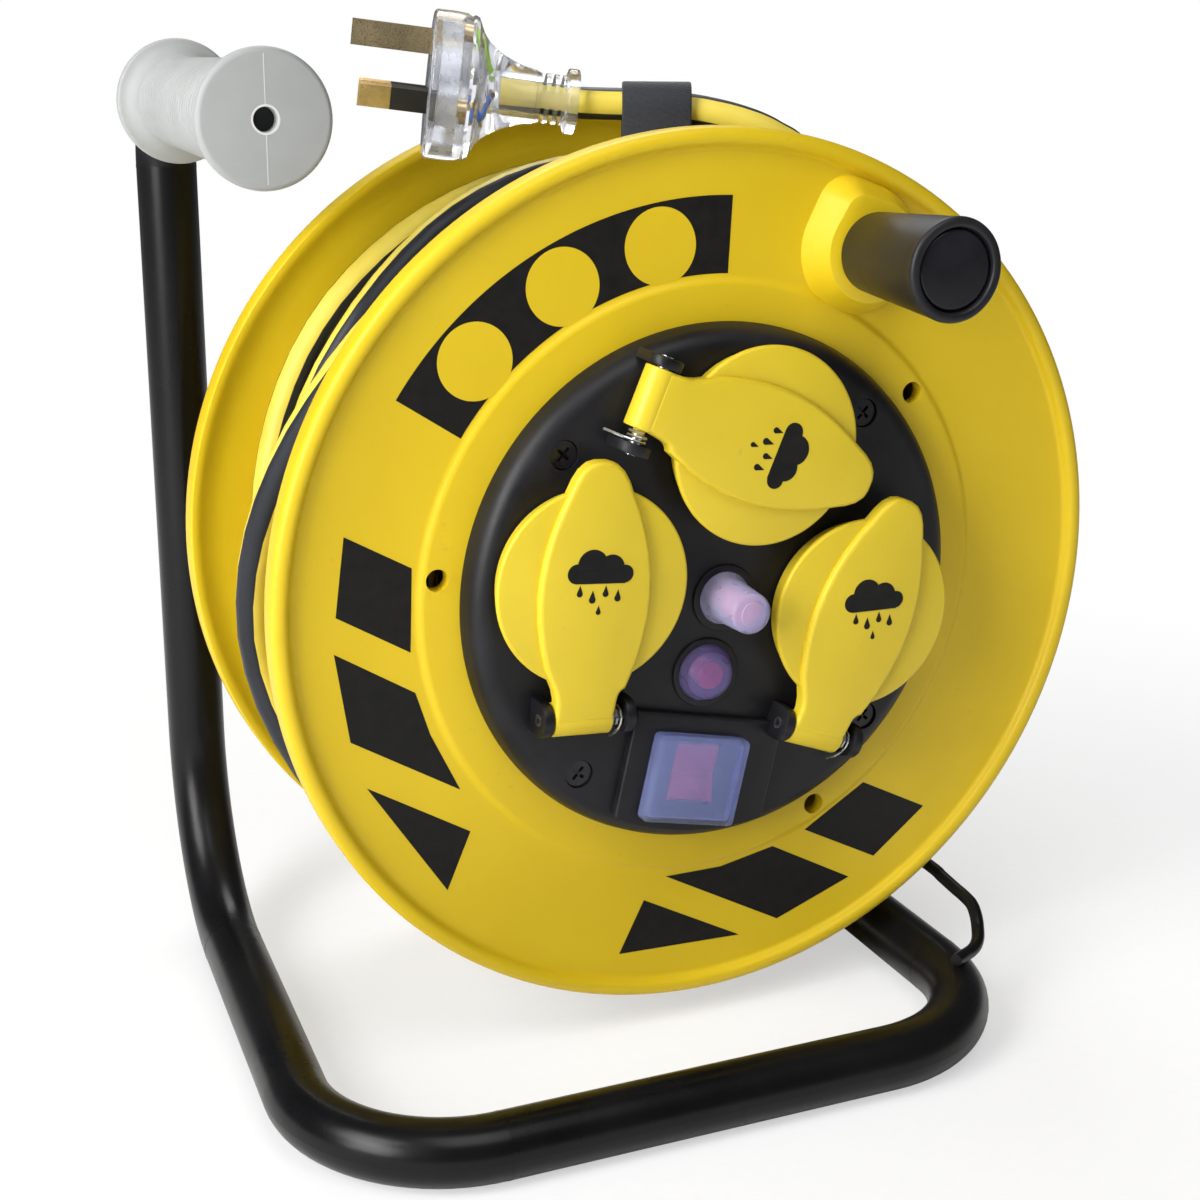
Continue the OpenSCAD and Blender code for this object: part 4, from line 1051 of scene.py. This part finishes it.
def make_front_flange():
    """Front flange with the knob's boss, three sight holes and four screw holes."""
    flange = piece(
        flange_shape(57.5),
        "front_flange_moulding",
        YELLOW,
        "reel",
        stands_for=("front_flange",),
        slot="reel_plastic",
    )
    boss = moved(teardrop_boss(), ROW @ Matrix.Translation((KNOB_X, 0, KNOB_Z)))
    limit = moved(rod(112.2, -6, 5, 160, along="Y"), ROW)
    seat = piece(boss, "boss", YELLOW, "reel", matrix=Matrix.Identity(4))
    cut(seat, limit, mode="INTERSECT")
    shell = bmesh.new()
    shell.from_mesh(seat.data)
    bpy.data.objects.remove(seat)
    cut(flange, shell, mode="UNION")
    holes = []
    sight_at = 72.5
    for a in (173, 38.5, -63):
        a = math.radians(a)
        holes.append(hole_y(sight_at * math.cos(a), sight_at * math.sin(a), 2.8, -1, 7))
    for x, z in screw_spots():
        holes.append(hole_y(x, z, SHANK_HOLE_R, -1, 7, 24))
    holes.append(hole_y(KNOB_X, KNOB_Z, 4.0, -7, 7))
    cut(flange, *holes)


def make_rear_flange():
    """Rear flange: the front one's shape turned about, with its hub, ring and ribs."""
    bush_hole_r = 9.56
    flip = Matrix.Translation((0, REEL_W, 0)) @ Matrix.Scale(-1, 4, (0, 1, 0))
    bm = flange_shape(bush_hole_r)
    moved(bm, flip)
    bmesh.ops.recalc_face_normals(bm, faces=bm.faces)
    flange = piece(
        bm, "rear_flange_moulding", YELLOW, "reel", stands_for=("rear_flange",), slot="reel_plastic"
    )
    hub = turned(
        (bush_hole_r, 52.1),
        [
            (14.1, 52.1),
            ((14.1, 52.56), 90, 3),
            (14.56, 87.0),
            (14.56, 91.5),
            (14.9, 91.5),
            (14.9, 102.6),
            ((14.4, 102.6), 90, 3),
            (bush_hole_r, 103.1),
        ],
        72,
    )
    ring_steps = [
        (71.2, 95.2),
        ((71.6, 95.2), -90, 3),
        (72.8, 95.6),
        (73.2, 95.2),
        (73.2, 90.9),
    ]
    ring = turned((71.2, 90.9), ring_steps, 144)
    shells = [moved(hub, ROW), moved(ring, ROW)]
    for k in range(12):
        rib = box((13.6, 90.9, -1), (72.2, 95.6, 1), 0.45)
        spin = Matrix.Rotation(-math.radians(30 * k), 4, "Y")
        shells.append(moved(rib, ROW @ spin))
    cut(flange, *shells, mode="UNION")
    holes = []
    for x, z in screw_spots():
        holes.append(hole_y(x, z, SHANK_HOLE_R, 87, 99, 24))
        holes.append(hole_y(x, z, HEAD_HOLE_R, 91.1, 99, 32))
    cut(flange, *holes)


def make_print():
    """The printed arc with its three plain discs, and the six slanted blocks."""
    thick = 0.09
    parts = []
    arc = bmesh.new()
    first = math.radians(87.5)
    edge = [(r * math.cos(first), r * math.sin(first)) for r in (77.9, 96.5)]
    trace(arc, edge[0], edge[1:], closed=False)
    bmesh.ops.spin(
        arc,
        geom=arc.verts[:] + arc.edges[:],
        cent=(0, 0, 0),
        axis=(0, 0, 1),
        angle=math.radians(59.5),
        steps=48,
    )
    blocks = [
        [(-94.2, 21.5), (-77.9, 12.3), (-78.6, -8.5), (-96.7, 2.2)],
        [(-97.4, -6.7), (-77.6, -18.8), (-74, -30), (-66.5, -45.5), (-94, -29.2)],
        [(-90.3, -41.5), (-64, -57), (-70.2, -71.9)],
        [(48.7, -61.2), (68.3, -71.2), (53.1, -83.6), (31.1, -72.2)],
        [(21.5, -75.4), (45.5, -88.5), (23.6, -97), (-10, -78.7), (6, -78.6)],
        [(-16.2, -84.4), (12.1, -99.6), (-23.1, -98.6)],
    ]
    for corners in blocks:
        bm = bmesh.new()
        trace(bm, corners[0], corners[1:])
        bmesh.ops.contextual_create(bm, geom=bm.edges[:])
        parts.append((bm, Matrix.Identity(4)))
    whole = joined((arc, Matrix.Identity(4)), *parts)
    bmesh.ops.recalc_face_normals(whole, faces=whole.faces)
    made = bmesh.ops.extrude_face_region(whole, geom=whole.faces[:], use_keep_orig=True)
    top = [g for g in made["geom"] if isinstance(g, bmesh.types.BMVert)]
    bmesh.ops.translate(whole, verts=top, vec=(0, 0, thick))
    bmesh.ops.recalc_face_normals(whole, faces=whole.faces)
    # The print's XY plane is the reel's XZ plane, seen from the front.
    place = ROW @ Matrix.Translation((0, 2.53, 0)) @ UPRIGHT
    piece(whole, "flange_print", PRINT, "reel", matrix=place, slot="reel_plastic")
    discs = []
    for a in (135.6, 117.4, 99.8):
        a = math.radians(a)
        spot = Matrix.Translation((86.2 * math.cos(a), 86.2 * math.sin(a), 0))
        discs.append((rod(9.3, 0, 0.14, 64), spot))
    piece(joined(*discs), "print_discs", YELLOW, "reel", matrix=place, slot="reel_plastic")


# ---- socket panel ----

# Each cover's X and Z, and the way its leaf points, in degrees from the right.
COVERS = {
    "left": (-38.1, 7.5, 86.5),
    "top": (7.2, 38.0, -22.5),
    "right": (36.1, -7.4, 69.5),
}
HINGE_AT = 33
HINGE_H = 5.5
# X and Z, and for the switch its turn in degrees.
SWITCH = (-8.3, -45.8, -12)
OVERLOAD = (0.3, -1.2)
TEST = (-4.4, -20.2)


def cover_frame(name):
    """A cover's own frame: its middle on the panel's face, its hinge towards -Y."""
    x, z, turn = COVERS[name]
    return on_panel(x, z, turn - 90)


def make_panel():
    """Black socket panel: a dished disc with a switch pad, collars, ears and holes."""
    edge = turned(
        (0, -6),
        [
            (60.6, -6.0),
            ((60.6, -0.6), 84, 9),
            (66.5, 0.4),
            (66.5, 1.5),
            (63.5, 1.5),
            (63.5, -1.0),
            ((60.9, -1.0), -90, 4),
            (0, -3),
        ],
        160,
        closed=False,
    )
    bmesh.ops.recalc_face_normals(edge, faces=edge.faces)
    panel = piece(
        edge,
        "panel_moulding",
        PANEL_BLACK,
        "reel",
        stands_for=("socket_panel",),
        slot="panel_plastic",
    )
    shells = []
    pad = box((-19, -25, -1.5), (23, 15, 2.5), 0.7, 3)
    moved(pad, on_panel(*SWITCH))
    pad_piece = piece(pad, "pad", PANEL_BLACK, "reel", matrix=Matrix.Identity(4))
    cut(pad_piece, moved(rod(62.0, -12, 4, 160, along="Y"), ROW), mode="INTERSECT")
    barrel_room = rod(4.7, -10.3, 9.2, 40, along="X")
    hinge = cover_frame("right") @ Matrix.Translation((0, -HINGE_AT, HINGE_H))
    cut(pad_piece, moved(barrel_room, hinge))
    shell = bmesh.new()
    shell.from_mesh(pad_piece.data)
    bpy.data.objects.remove(pad_piece)
    shells.append(shell)
    for spot, radius in ((OVERLOAD, 8.6), (TEST, 9.0)):
        collar = rod(radius, -1, 0.8, 64, 0.35)
        shells.append(moved(collar, on_panel(*spot)))
    for x, z in screw_spots():
        post = rod(4.4, -3.4, 1.4, 32, along="Y")
        shells.append(moved(post, ROW @ Matrix.Translation((x, 0, z))))
    for name in COVERS:
        for start in (-11.3, 10.2):
            ear = raised(
                (-4.4, -1.5),
                [(4.4, -1.5), (4.4, HINGE_H), ((0, HINGE_H), 180, 16)],
                start,
                start + 2.6,
                0.35,
                2,
                0.35,
            )
            swing = Matrix.Translation((0, -HINGE_AT, 0)) @ ON_ITS_SIDE
            shells.append(moved(ear, cover_frame(name) @ swing))
    cut(panel, *shells, mode="UNION")
    holes = []
    for name in COVERS:
        holes.append(moved(rod(16.6, -5, 2, 64), cover_frame(name)))
        pin = rod(1.5, -13, 15, 24, along="X")
        holes.append(moved(pin, cover_frame(name) @ Matrix.Translation((0, -HINGE_AT, HINGE_H))))
    holes.append(moved(box((-8, -9.4, -6), (8, 9.4, 6)), on_panel(*SWITCH)))
    holes.append(moved(rod(6.9, -5, 3, 48), on_panel(*OVERLOAD)))
    holes.append(moved(rod(7.5, -5, 3, 48), on_panel(*TEST)))
    for x, z in screw_spots():
        holes.append(hole_y(x, z, HEAD_HOLE_R, -9, -3.2, 32))
        holes.append(hole_y(x, z, SHANK_HOLE_R, -9, 3, 24))
    cut(panel, *holes)


def leaf_steps():
    """The leaf's outline from the arm, up one side, round the tip and down the other side."""
    return [
        (7.5, -27.5),
        ((10.4, -27.9), -62, 5),
        (11.8, -19),
        (13.3, -13),
        (14.2, -7.5),
        (14.5, -2.5),
        (14.3, 2.5),
        (13.5, 8),
        (12.1, 13.5),
        (10.2, 18.8),
        (8.2, 23.2),
        (6.9, 26.2),
        (5.4, 28.6),
        (3.5, 30.2),
        (1.4, 30.8),
        (-1.4, 30.8),
        (-3.5, 30.2),
        (-5.4, 28.6),
        (-6.9, 26.2),
        (-8.2, 23.2),
        (-10.2, 18.8),
        (-12.1, 13.5),
        (-13.5, 8),
        (-14.3, 2.5),
        (-14.5, -2.5),
        (-14.2, -7.5),
        (-13.3, -13),
        (-11.8, -19),
        (-9.0, -25.0),
        (-8.4, -27.5),
        (-8.4, -33),
    ]


def make_cover(name):
    """A sprung cover: round lid with a rolled edge, raised leaf, arm and hinge barrel."""
    lid = rod(24.6, 6, 8, 128, 0.75)
    skirt = turned((20.8, 0.7), [(22.3, 0.7), ((22.3, 1.0), 90, 2), (22.6, 7), (20.8, 7)], 96)
    moved(skirt, UPRIGHT)
    bmesh.ops.recalc_face_normals(skirt, faces=skirt.faces)
    leaf = raised((6.6, -33), leaf_steps(), 6, 9.8, 1.5, 5)
    hinge = Matrix.Translation((0, -HINGE_AT, HINGE_H))
    barrel = rod(4.2, -8.4, 6.6, 40, 0.35, along="X")
    moved(barrel, hinge)
    place = cover_frame(name)
    cover = piece(
        lid,
        f"cover_{name}_moulding",
        COVER_YELLOW,
        f"cover_{name}",
        matrix=place,
        stands_for=(f"cover_{name}",),
        slot="cover_plastic",
    )
    cut(cover, moved(skirt, place), moved(leaf, place), moved(barrel, place), mode="UNION")
    pin_hole = moved(rod(1.56, -10, 8, 24, along="X"), place @ hinge)
    cut(cover, pin_hole)
    make_rain_mark(name, place)


def make_rain_mark(name, place):
    """A plain cloud with drops, printed on the leaf."""
    # Turned so that the cloud stands upright on the closed cover, except on the top one.
    tilt = {"left": -1.0, "top": 0.0, "right": 20.0}[name]
    leaf_top = 9.8
    wider = 1.28
    spot = place @ Matrix.Translation((0.4, 3.6, leaf_top))
    spot = spot @ Matrix.Rotation(math.radians(tilt), 4, "Z")
    spot = spot @ Matrix.Diagonal((wider, wider, 1, 1))
    # Each part of the cloud is a little thicker than the last, so no two lie in one plane.
    puffs = [(-4.6, 0.4, 1.9), (-1.6, 2.0, 3.0), (2.2, 1.4, 2.6), (5.0, 0.3, 1.7)]
    shells = []
    for k, (x, y, radius) in enumerate(puffs):
        puff = rod(radius, -0.02, 0.06 + 0.02 * k, 32)
        shells.append((puff, Matrix.Translation((x, y, 0))))
    shells.append((box((-4.8, -1.5, -0.02), (5.2, 1.0, 0.14)), Matrix.Identity(4)))
    drops = [
        (-3.8, -3.4, 0.62),
        (-1.2, -4.6, 0.7),
        (1.4, -3.5, 0.62),
        (3.9, -4.4, 0.66),
        (0.2, -7.0, 0.5),
    ]
    for x, y, size in drops:
        steps = [(-0.8 * size, 0.55 * size), ((0, 0), 216, 10)]
        drop = raised((0, 2.6 * size), steps, -0.02, 0.07)
        shells.append((drop, Matrix.Translation((x, y, 0))))
    cover = f"cover_{name}"
    piece(joined(*shells), f"rain_mark_{name}", PRINT, cover, matrix=spot, slot="cover_plastic")


def make_boots():
    """Milky boots over the switch and the two buttons, each a shell with an open back."""
    tall = turned(
        (0, 16.5),
        [
            (3.0, 16.5),
            ((3.0, 16.1), -90, 3),
            (3.4, 15.9),
            (4.2, 15.7),
            ((4.2, 14.7), -80, 4),
            (5.8, 3.0),
            (6.2, 1.6),
            (6.6, 1.1),
            (6.8, 0.6),
            (6.8, -0.9),
            (4.9, -0.9),
            (4.7, 13.8),
            ((3.9, 13.8), 90, 3),
            (0, 14.6),
        ],
        64,
        closed=False,
    )
    low = turned(
        (0, 4.5),
        [
            (4.6, 4.35),
            ((4.4, 2.4), -76, 5),
            (6.9, 1.6),
            (7.3, 1.0),
            (7.4, 0.4),
            (7.4, -0.9),
            (5.8, -0.9),
            (5.7, 2.2),
            (4.6, 3.3),
            (0, 3.5),
        ],
        64,
        closed=False,
    )
    for bm, name, finish, spot in (
        (tall, "overload_boot", SILICONE, OVERLOAD),
        (low, "test_boot", LOW_SILICONE, TEST),
    ):
        moved(bm, UPRIGHT)
        bmesh.ops.recalc_face_normals(bm, faces=bm.faces)
        piece(
            bm,
            f"{name}_skin",
            finish,
            "reel",
            matrix=on_panel(*spot),
            stands_for=(name,),
            slot="silicone",
        )
    shell = box((-13, -11.5, 0), (13, 11.5, 4), 0.0)
    upper = [e for e in shell.edges if e.verts[0].co.z > 3 and e.verts[1].co.z > 3]
    upright = [e for e in shell.edges if abs(e.verts[0].co.z - e.verts[1].co.z) > 1]
    bmesh.ops.bevel(
        shell,
        geom=upper + upright,
        offset=1.4,
        segments=4,
        profile=0.5,
        affect="EDGES",
        material=-1,
    )
    place = on_panel(*SWITCH) @ Matrix.Translation((0, -1.2, 2.5))
    boot = piece(
        shell,
        "switch_boot_skin",
        BLUE_SILICONE,
        "reel",
        matrix=place,
        stands_for=("switch_boot",),
        slot="silicone",
    )
    cut(boot, moved(box((-11.6, -10.2, -1), (11.6, 10.2, 2.9), 0.8, 3), place))


def make_knob():
    """Winding knob, wider at its free end, with a glossy cap let into it."""
    knob = turned(
        (4.06, -5.3),
        [
            (9.2, -5.3),
            ((9.2, -5.95), -86, 4),
            (12.1, -38.9),
            (12.2, -39.9),
            ((11.0, -40.3), -86, 6),
            (10.6, -41.5),
            ((10.6, -40.7), -90, 4),
            (9.8, -39.1),
            (4.0, -39.1),
        ],
        96,
    )
    place = ROW @ Matrix.Translation((KNOB_X, 0, KNOB_Z))
    piece(
        knob,
        "knob_moulding",
        KNOB_BLACK,
        "knob",
        matrix=place,
        stands_for=("knob",),
        slot="knob_plastic",
    )
    cap = turned(
        (0, -40.75),
        [(8.6, -40.55), ((8.6, -39.75), 84, 5), (9.7, -39.1), (0, -39.1)],
        80,
        closed=False,
    )
    bmesh.ops.recalc_face_normals(cap, faces=cap.faces)
    piece(
        cap,
        "knob_cap_disc",
        GLOSS_BLACK,
        "knob",
        matrix=place,
        stands_for=("knob_cap",),
        slot="knob_plastic",
    )


# ---- stand ----


def make_grip():
    """Carry grip: two rounded end discs and a ribbed barrel that widens to the front."""
    front, back = 18.0, 103.4
    steps = [
        (14.4, front),
        ((14.4, front + 1.4), 90, 5),
        (15.8, front + 2.1),
        ((14.9, front + 2.1), 70, 4),
        (14.5, front + 3.6),
        (13.9, front + 4.6),
        (13.4, front + 5.8),
    ]
    ribs = 28
    first = front + 7.0
    span = (back - 6.4 - first) / ribs
    groove = 0.4
    for i in range(ribs):
        y = first + i * span
        r = 12.9 - 1.6 * i / ribs
        steps += [
            (r, y),
            (r - groove, y + 0.12 * span),
            (r - groove, y + 0.36 * span),
            (r, y + 0.5 * span),
        ]
    steps += [
        (11.4, back - 6.2),
        (11.8, back - 5.2),
        (12.6, back - 4.2),
        (13.6, back - 3.3),
        (14.8, back - 2.9),
        ((14.8, back - 1.9), 80, 4),
        (15.8, back - 1.4),
        ((14.4, back - 1.4), 90, 5),
        (8.1, back),
        (8.1, front + 3),
        (2.75, front + 3),
        (2.75, front + 0.5),
    ]
    grip = turned((3.1, front), steps, 112)
    # It leans a little to the right of the tube's end.
    lean = Matrix.Translation((0, back, 0)) @ Matrix.Rotation(math.radians(1.2), 4, "Z")
    lean = lean @ Matrix.Translation((0, -back, 0))
    place = ROW @ Matrix.Translation((-106.5, 0, 114.6)) @ lean
    piece(
        grip,
        "carry_grip_moulding",
        GRIP_GREY,
        "frame",
        matrix=place,
        stands_for=("carry_grip",),
        slot="grip_plastic",
    )
    # The rim round the hole and the two seam lines are painted pale: a painted highlight where
    # light catches the chamfer and the parting line.
    rim_steps = [(3.35, front - 0.05), (3.35, front + 0.2), (2.9, front + 0.2)]
    rim = turned((2.9, front - 0.05), rim_steps, 64)
    piece(rim, "grip_hole_rim", GRIP_PAINTED_HIGHLIGHT, "frame", matrix=place, slot="grip_plastic")
    seams = []
    for low, high in ((3.3, 14.3), (-14.3, -3.3)):
        seam = box((-0.09, front - 0.04, low), (0.09, front + 0.3, high))
        seams.append((seam, Matrix.Identity(4)))
    piece(joined(*seams), "grip_seam", GRIP_PAINTED_HIGHLIGHT, "frame", matrix=place, slot="grip_plastic")


def make_stay():
    """The stay wire, a rod bent out to the right of the stand."""
    z = -103.05
    out = 77
    route = [
        (62, -27.2, z),
        (64.5, -26, z),
        (67, -24.7, z - 0.2),
        (69.3, -23.5, z - 0.2),
        (71.5, -22, z + 0.1),
        (73.5, -20, z + 0.9),
        (75, -17.6, z + 2.2),
        (76.2, -14.8, z + 4.4),
        (out, -11.3, z + 6.4),
        (out, -7.5, z + 7.3),
        (out, -2.8, z + 7.7),
        (out, 4, z + 8.4),
        (out, 10, z + 9),
        (out, 40, z + 9),
        (out, 70, z + 9),
        (out, 75, z + 8.6),
        (76.8, 79, z + 7.4),
        (76, 82, z + 5.6),
        (74.6, 84.4, z + 3.4),
        (72.6, 86, z + 1.6),
        (70.2, 87, z + 0.5),
        (67.6, 87.6, z),
        (64, 88, z),
    ]
    line = rounded_route([at(*p) for p in route], 5)
    wire_piece(
        "stay_wire_rod",
        line,
        0.00175,
        FRAME_COAT,
        "frame",
        stands_for=("stay_wire",),
        round_parts=6,
    )


# ---- plug ----


def plug_frame():
    """The plug's own frame: its face at 0, Z out of the face along the pins."""
    out = -PLUG_DIR
    side = Vector((0, 0, 1)).cross(out).normalized()
    up = out.cross(side)
    axes = Matrix((side, up, out)).transposed().to_4x4()
    return ROW @ Matrix.Translation(FACE) @ axes @ Matrix.Rotation(math.pi, 4, "Z")


def make_plug():
    """Clear plug body, strain relief, and the wires and crimps seen inside."""
    place = plug_frame()
    # Depth runs from the pins' face to the cable along the plug's own axis.
    body = turned(
        (0, 0),
        [
            (17.2, 0.0),
            ((17.2, 1.1), 80, 4),
            (18.3, 5.5),
            (18.1, 8.4),
            (17.4, 9.6),
            (17.9, 10.3),
            (17.5, 11.3),
            (16.2, 11.9),
            (14.0, 12.9),
            (12.2, 14.3),
            (10.6, 16.2),
            (9.2, 18.6),
            (8.1, 21.2),
            (7.2, 24.0),
            (6.7, 27.0),
            (4.05, 27.0),
            (4.05, 12.5),
            (3.2, 11.2),
            (0, 10.9),
        ],
        96,
        closed=False,
    )
    moved(body, UPRIGHT)
    bmesh.ops.recalc_face_normals(body, faces=body.faces)
    shell = piece(
        body,
        "plug_moulding",
        CLEAR,
        "frame",
        matrix=place,
        stands_for=("plug_body",),
        slot="clear_plastic",
    )
    relief = turned(
        (4.05, 27.0),
        [
            (6.7, 27.0),
            (6.2, 28.0),
            (6.2, 34.6),
            (7.6, 35.0),
            ((7.6, 35.5), 90, 3),
            (8.1, 37.3),
            ((7.6, 37.3), 90, 3),
            (4.4, 38.0),
            (4.05, 37.7),
        ],
        72,
    )
    moved(relief, UPRIGHT)
    bmesh.ops.recalc_face_normals(relief, faces=relief.faces)
    sleeve = piece(
        relief,
        "relief_sleeve",
        CLEAR,
        "frame",
        matrix=place,
        stands_for=("strain_relief",),
        slot="clear_plastic",
    )
    slots = []
    for k in range(3):
        z = 28.4 + 2.2 * k
        for low, high in ((2.2, 9), (-9, -2.2)):
            slots.append(moved(box((-9, low, z), (9, high, z + 1.1)), place))
    cut(sleeve, *slots)
    wires = []
    crimps = []
    # Each pin's turn round the plug's axis, its distance from it, and its wire.
    pins = (
        (150, 7.92, BROWN, "brown"),
        (30, 7.92, BLUE, "blue"),
        (270, 10.31, GREEN, "green"),
    )
    for turn, radius, finish, name in pins:
        a = math.radians(turn)
        x, y = radius * math.cos(a), radius * math.sin(a)
        twist = Vector((-math.sin(a), math.cos(a), 0))
        spots = [
            Vector((0.3 * x, 0.3 * y, 13.5)),
            Vector((0.45 * x, 0.45 * y, 12.0)) + 1.6 * twist,
            Vector((0.8 * x, 0.8 * y, 10.9)) + 2.6 * twist,
            Vector((1.02 * x, 1.02 * y, 10.0)) + 1.5 * twist,
            Vector((x, y, 8.6)),
            Vector((x, y, 7.2)),
        ]
        line = rounded_route([place @ p for p in spots], 6)
        name = f"plug_wire_{name}"
        wires.append(wire_piece(name, line, 0.0011, finish, "frame"))
        crimps.append((rod(1.9, 5.4, 9.4, 20, 0.4), Matrix.Translation((x, y, 0))))
    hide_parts("plug_wires")
    crimp_set = piece(joined(*crimps), "plug_crimps", BRASS, "frame", matrix=place, slot="brass")
    return [shell, sleeve, crimp_set, *wires]


def make_strap():
    """A napped strap folded round the lead and down to the winding."""
    low = 100.7
    top = 115.1
    half = 4.35
    thick = 1.6
    outline = [
        (half + thick, top),
        ((0, top), 180, 24),
        (-half - thick, low + 1.0),
        ((-half - thick + 1.0, low + 1.0), 90, 4),
        (half + thick - 1.0, low),
        ((half + thick - 1.0, low + 1.0), 90, 4),
    ]
    band = raised(outline[0], outline[1:], -8.75, 8.75, 0.5, 3, 0.5)
    turn = math.atan2(0.39, 0.92)
    spot = ROW @ Matrix.Translation((3, 44, 0)) @ Matrix.Rotation(-turn, 4, "Z") @ ON_ITS_SIDE
    strap = piece(
        band,
        "strap_loop",
        STRAP,
        "frame",
        matrix=spot,
        stands_for=("lead_strap",),
        slot="rubber",
        sharp=40,
    )
    inner = [(half, top), ((0, top), 180, 24), (-half, low + thick), (half, low + thick)]
    hollow = raised(inner[0], inner[1:], -10, 10)
    cut(strap, moved(hollow, spot), sharp=40)
    return strap


# ---- the whole reel ----

place_camera()
light_the_studio()

winding, lead, lead_route = lay_the_cable()
plug_pieces = make_plug()
strap = make_strap()

make_front_flange()
make_rear_flange()
make_print()
make_panel()
for cover_name in COVERS:
    make_cover(cover_name)
make_boots()
make_knob()
make_grip()
make_stay()

dress(FRAME_COAT, "frame_tube", "axle_plate")
dress(RUBBER, "tube_caps", "seal_left", "seal_top", "seal_right", "cable_gland")
dress(AXLE_STEEL, "axle", "hinge_pins", "knob_spindle")
dress(STEEL, "thrust_washers", "retaining_ring", "rear_screws", "hinge_springs")
dress(YELLOW, "drum_core")
dress(NYLON, "hub_bush", "terminal_block")
dress(GLOSS_BLACK, "panel_screws")
dress(SWITCH_BLACK, "outlet_left", "outlet_top", "outlet_right", "switch_body")
dress(SWITCH_BLACK, "overload_body", "test_body", "pin_sleeves")
dress(BRASS, "outlet_contacts", "plug_pins")
dress(RED, "switch_rocker", "overload_button", "test_button")
dress(MILKY, "plug_core")
dress(BROWN, "inner_wires")

floor_mesh = bpy.data.meshes.new("floor")
floor_bm = bmesh.new()
bmesh.ops.create_grid(floor_bm, x_segments=1, y_segments=1, size=6)
floor_bm.to_mesh(floor_mesh)
floor_bm.free()
floor = bpy.data.objects.new("floor", floor_mesh)
bpy.context.scene.collection.objects.link(floor)
floor_mesh.materials.append(white_floor())

bpy.context.scene.view_settings.view_transform = "Standard"
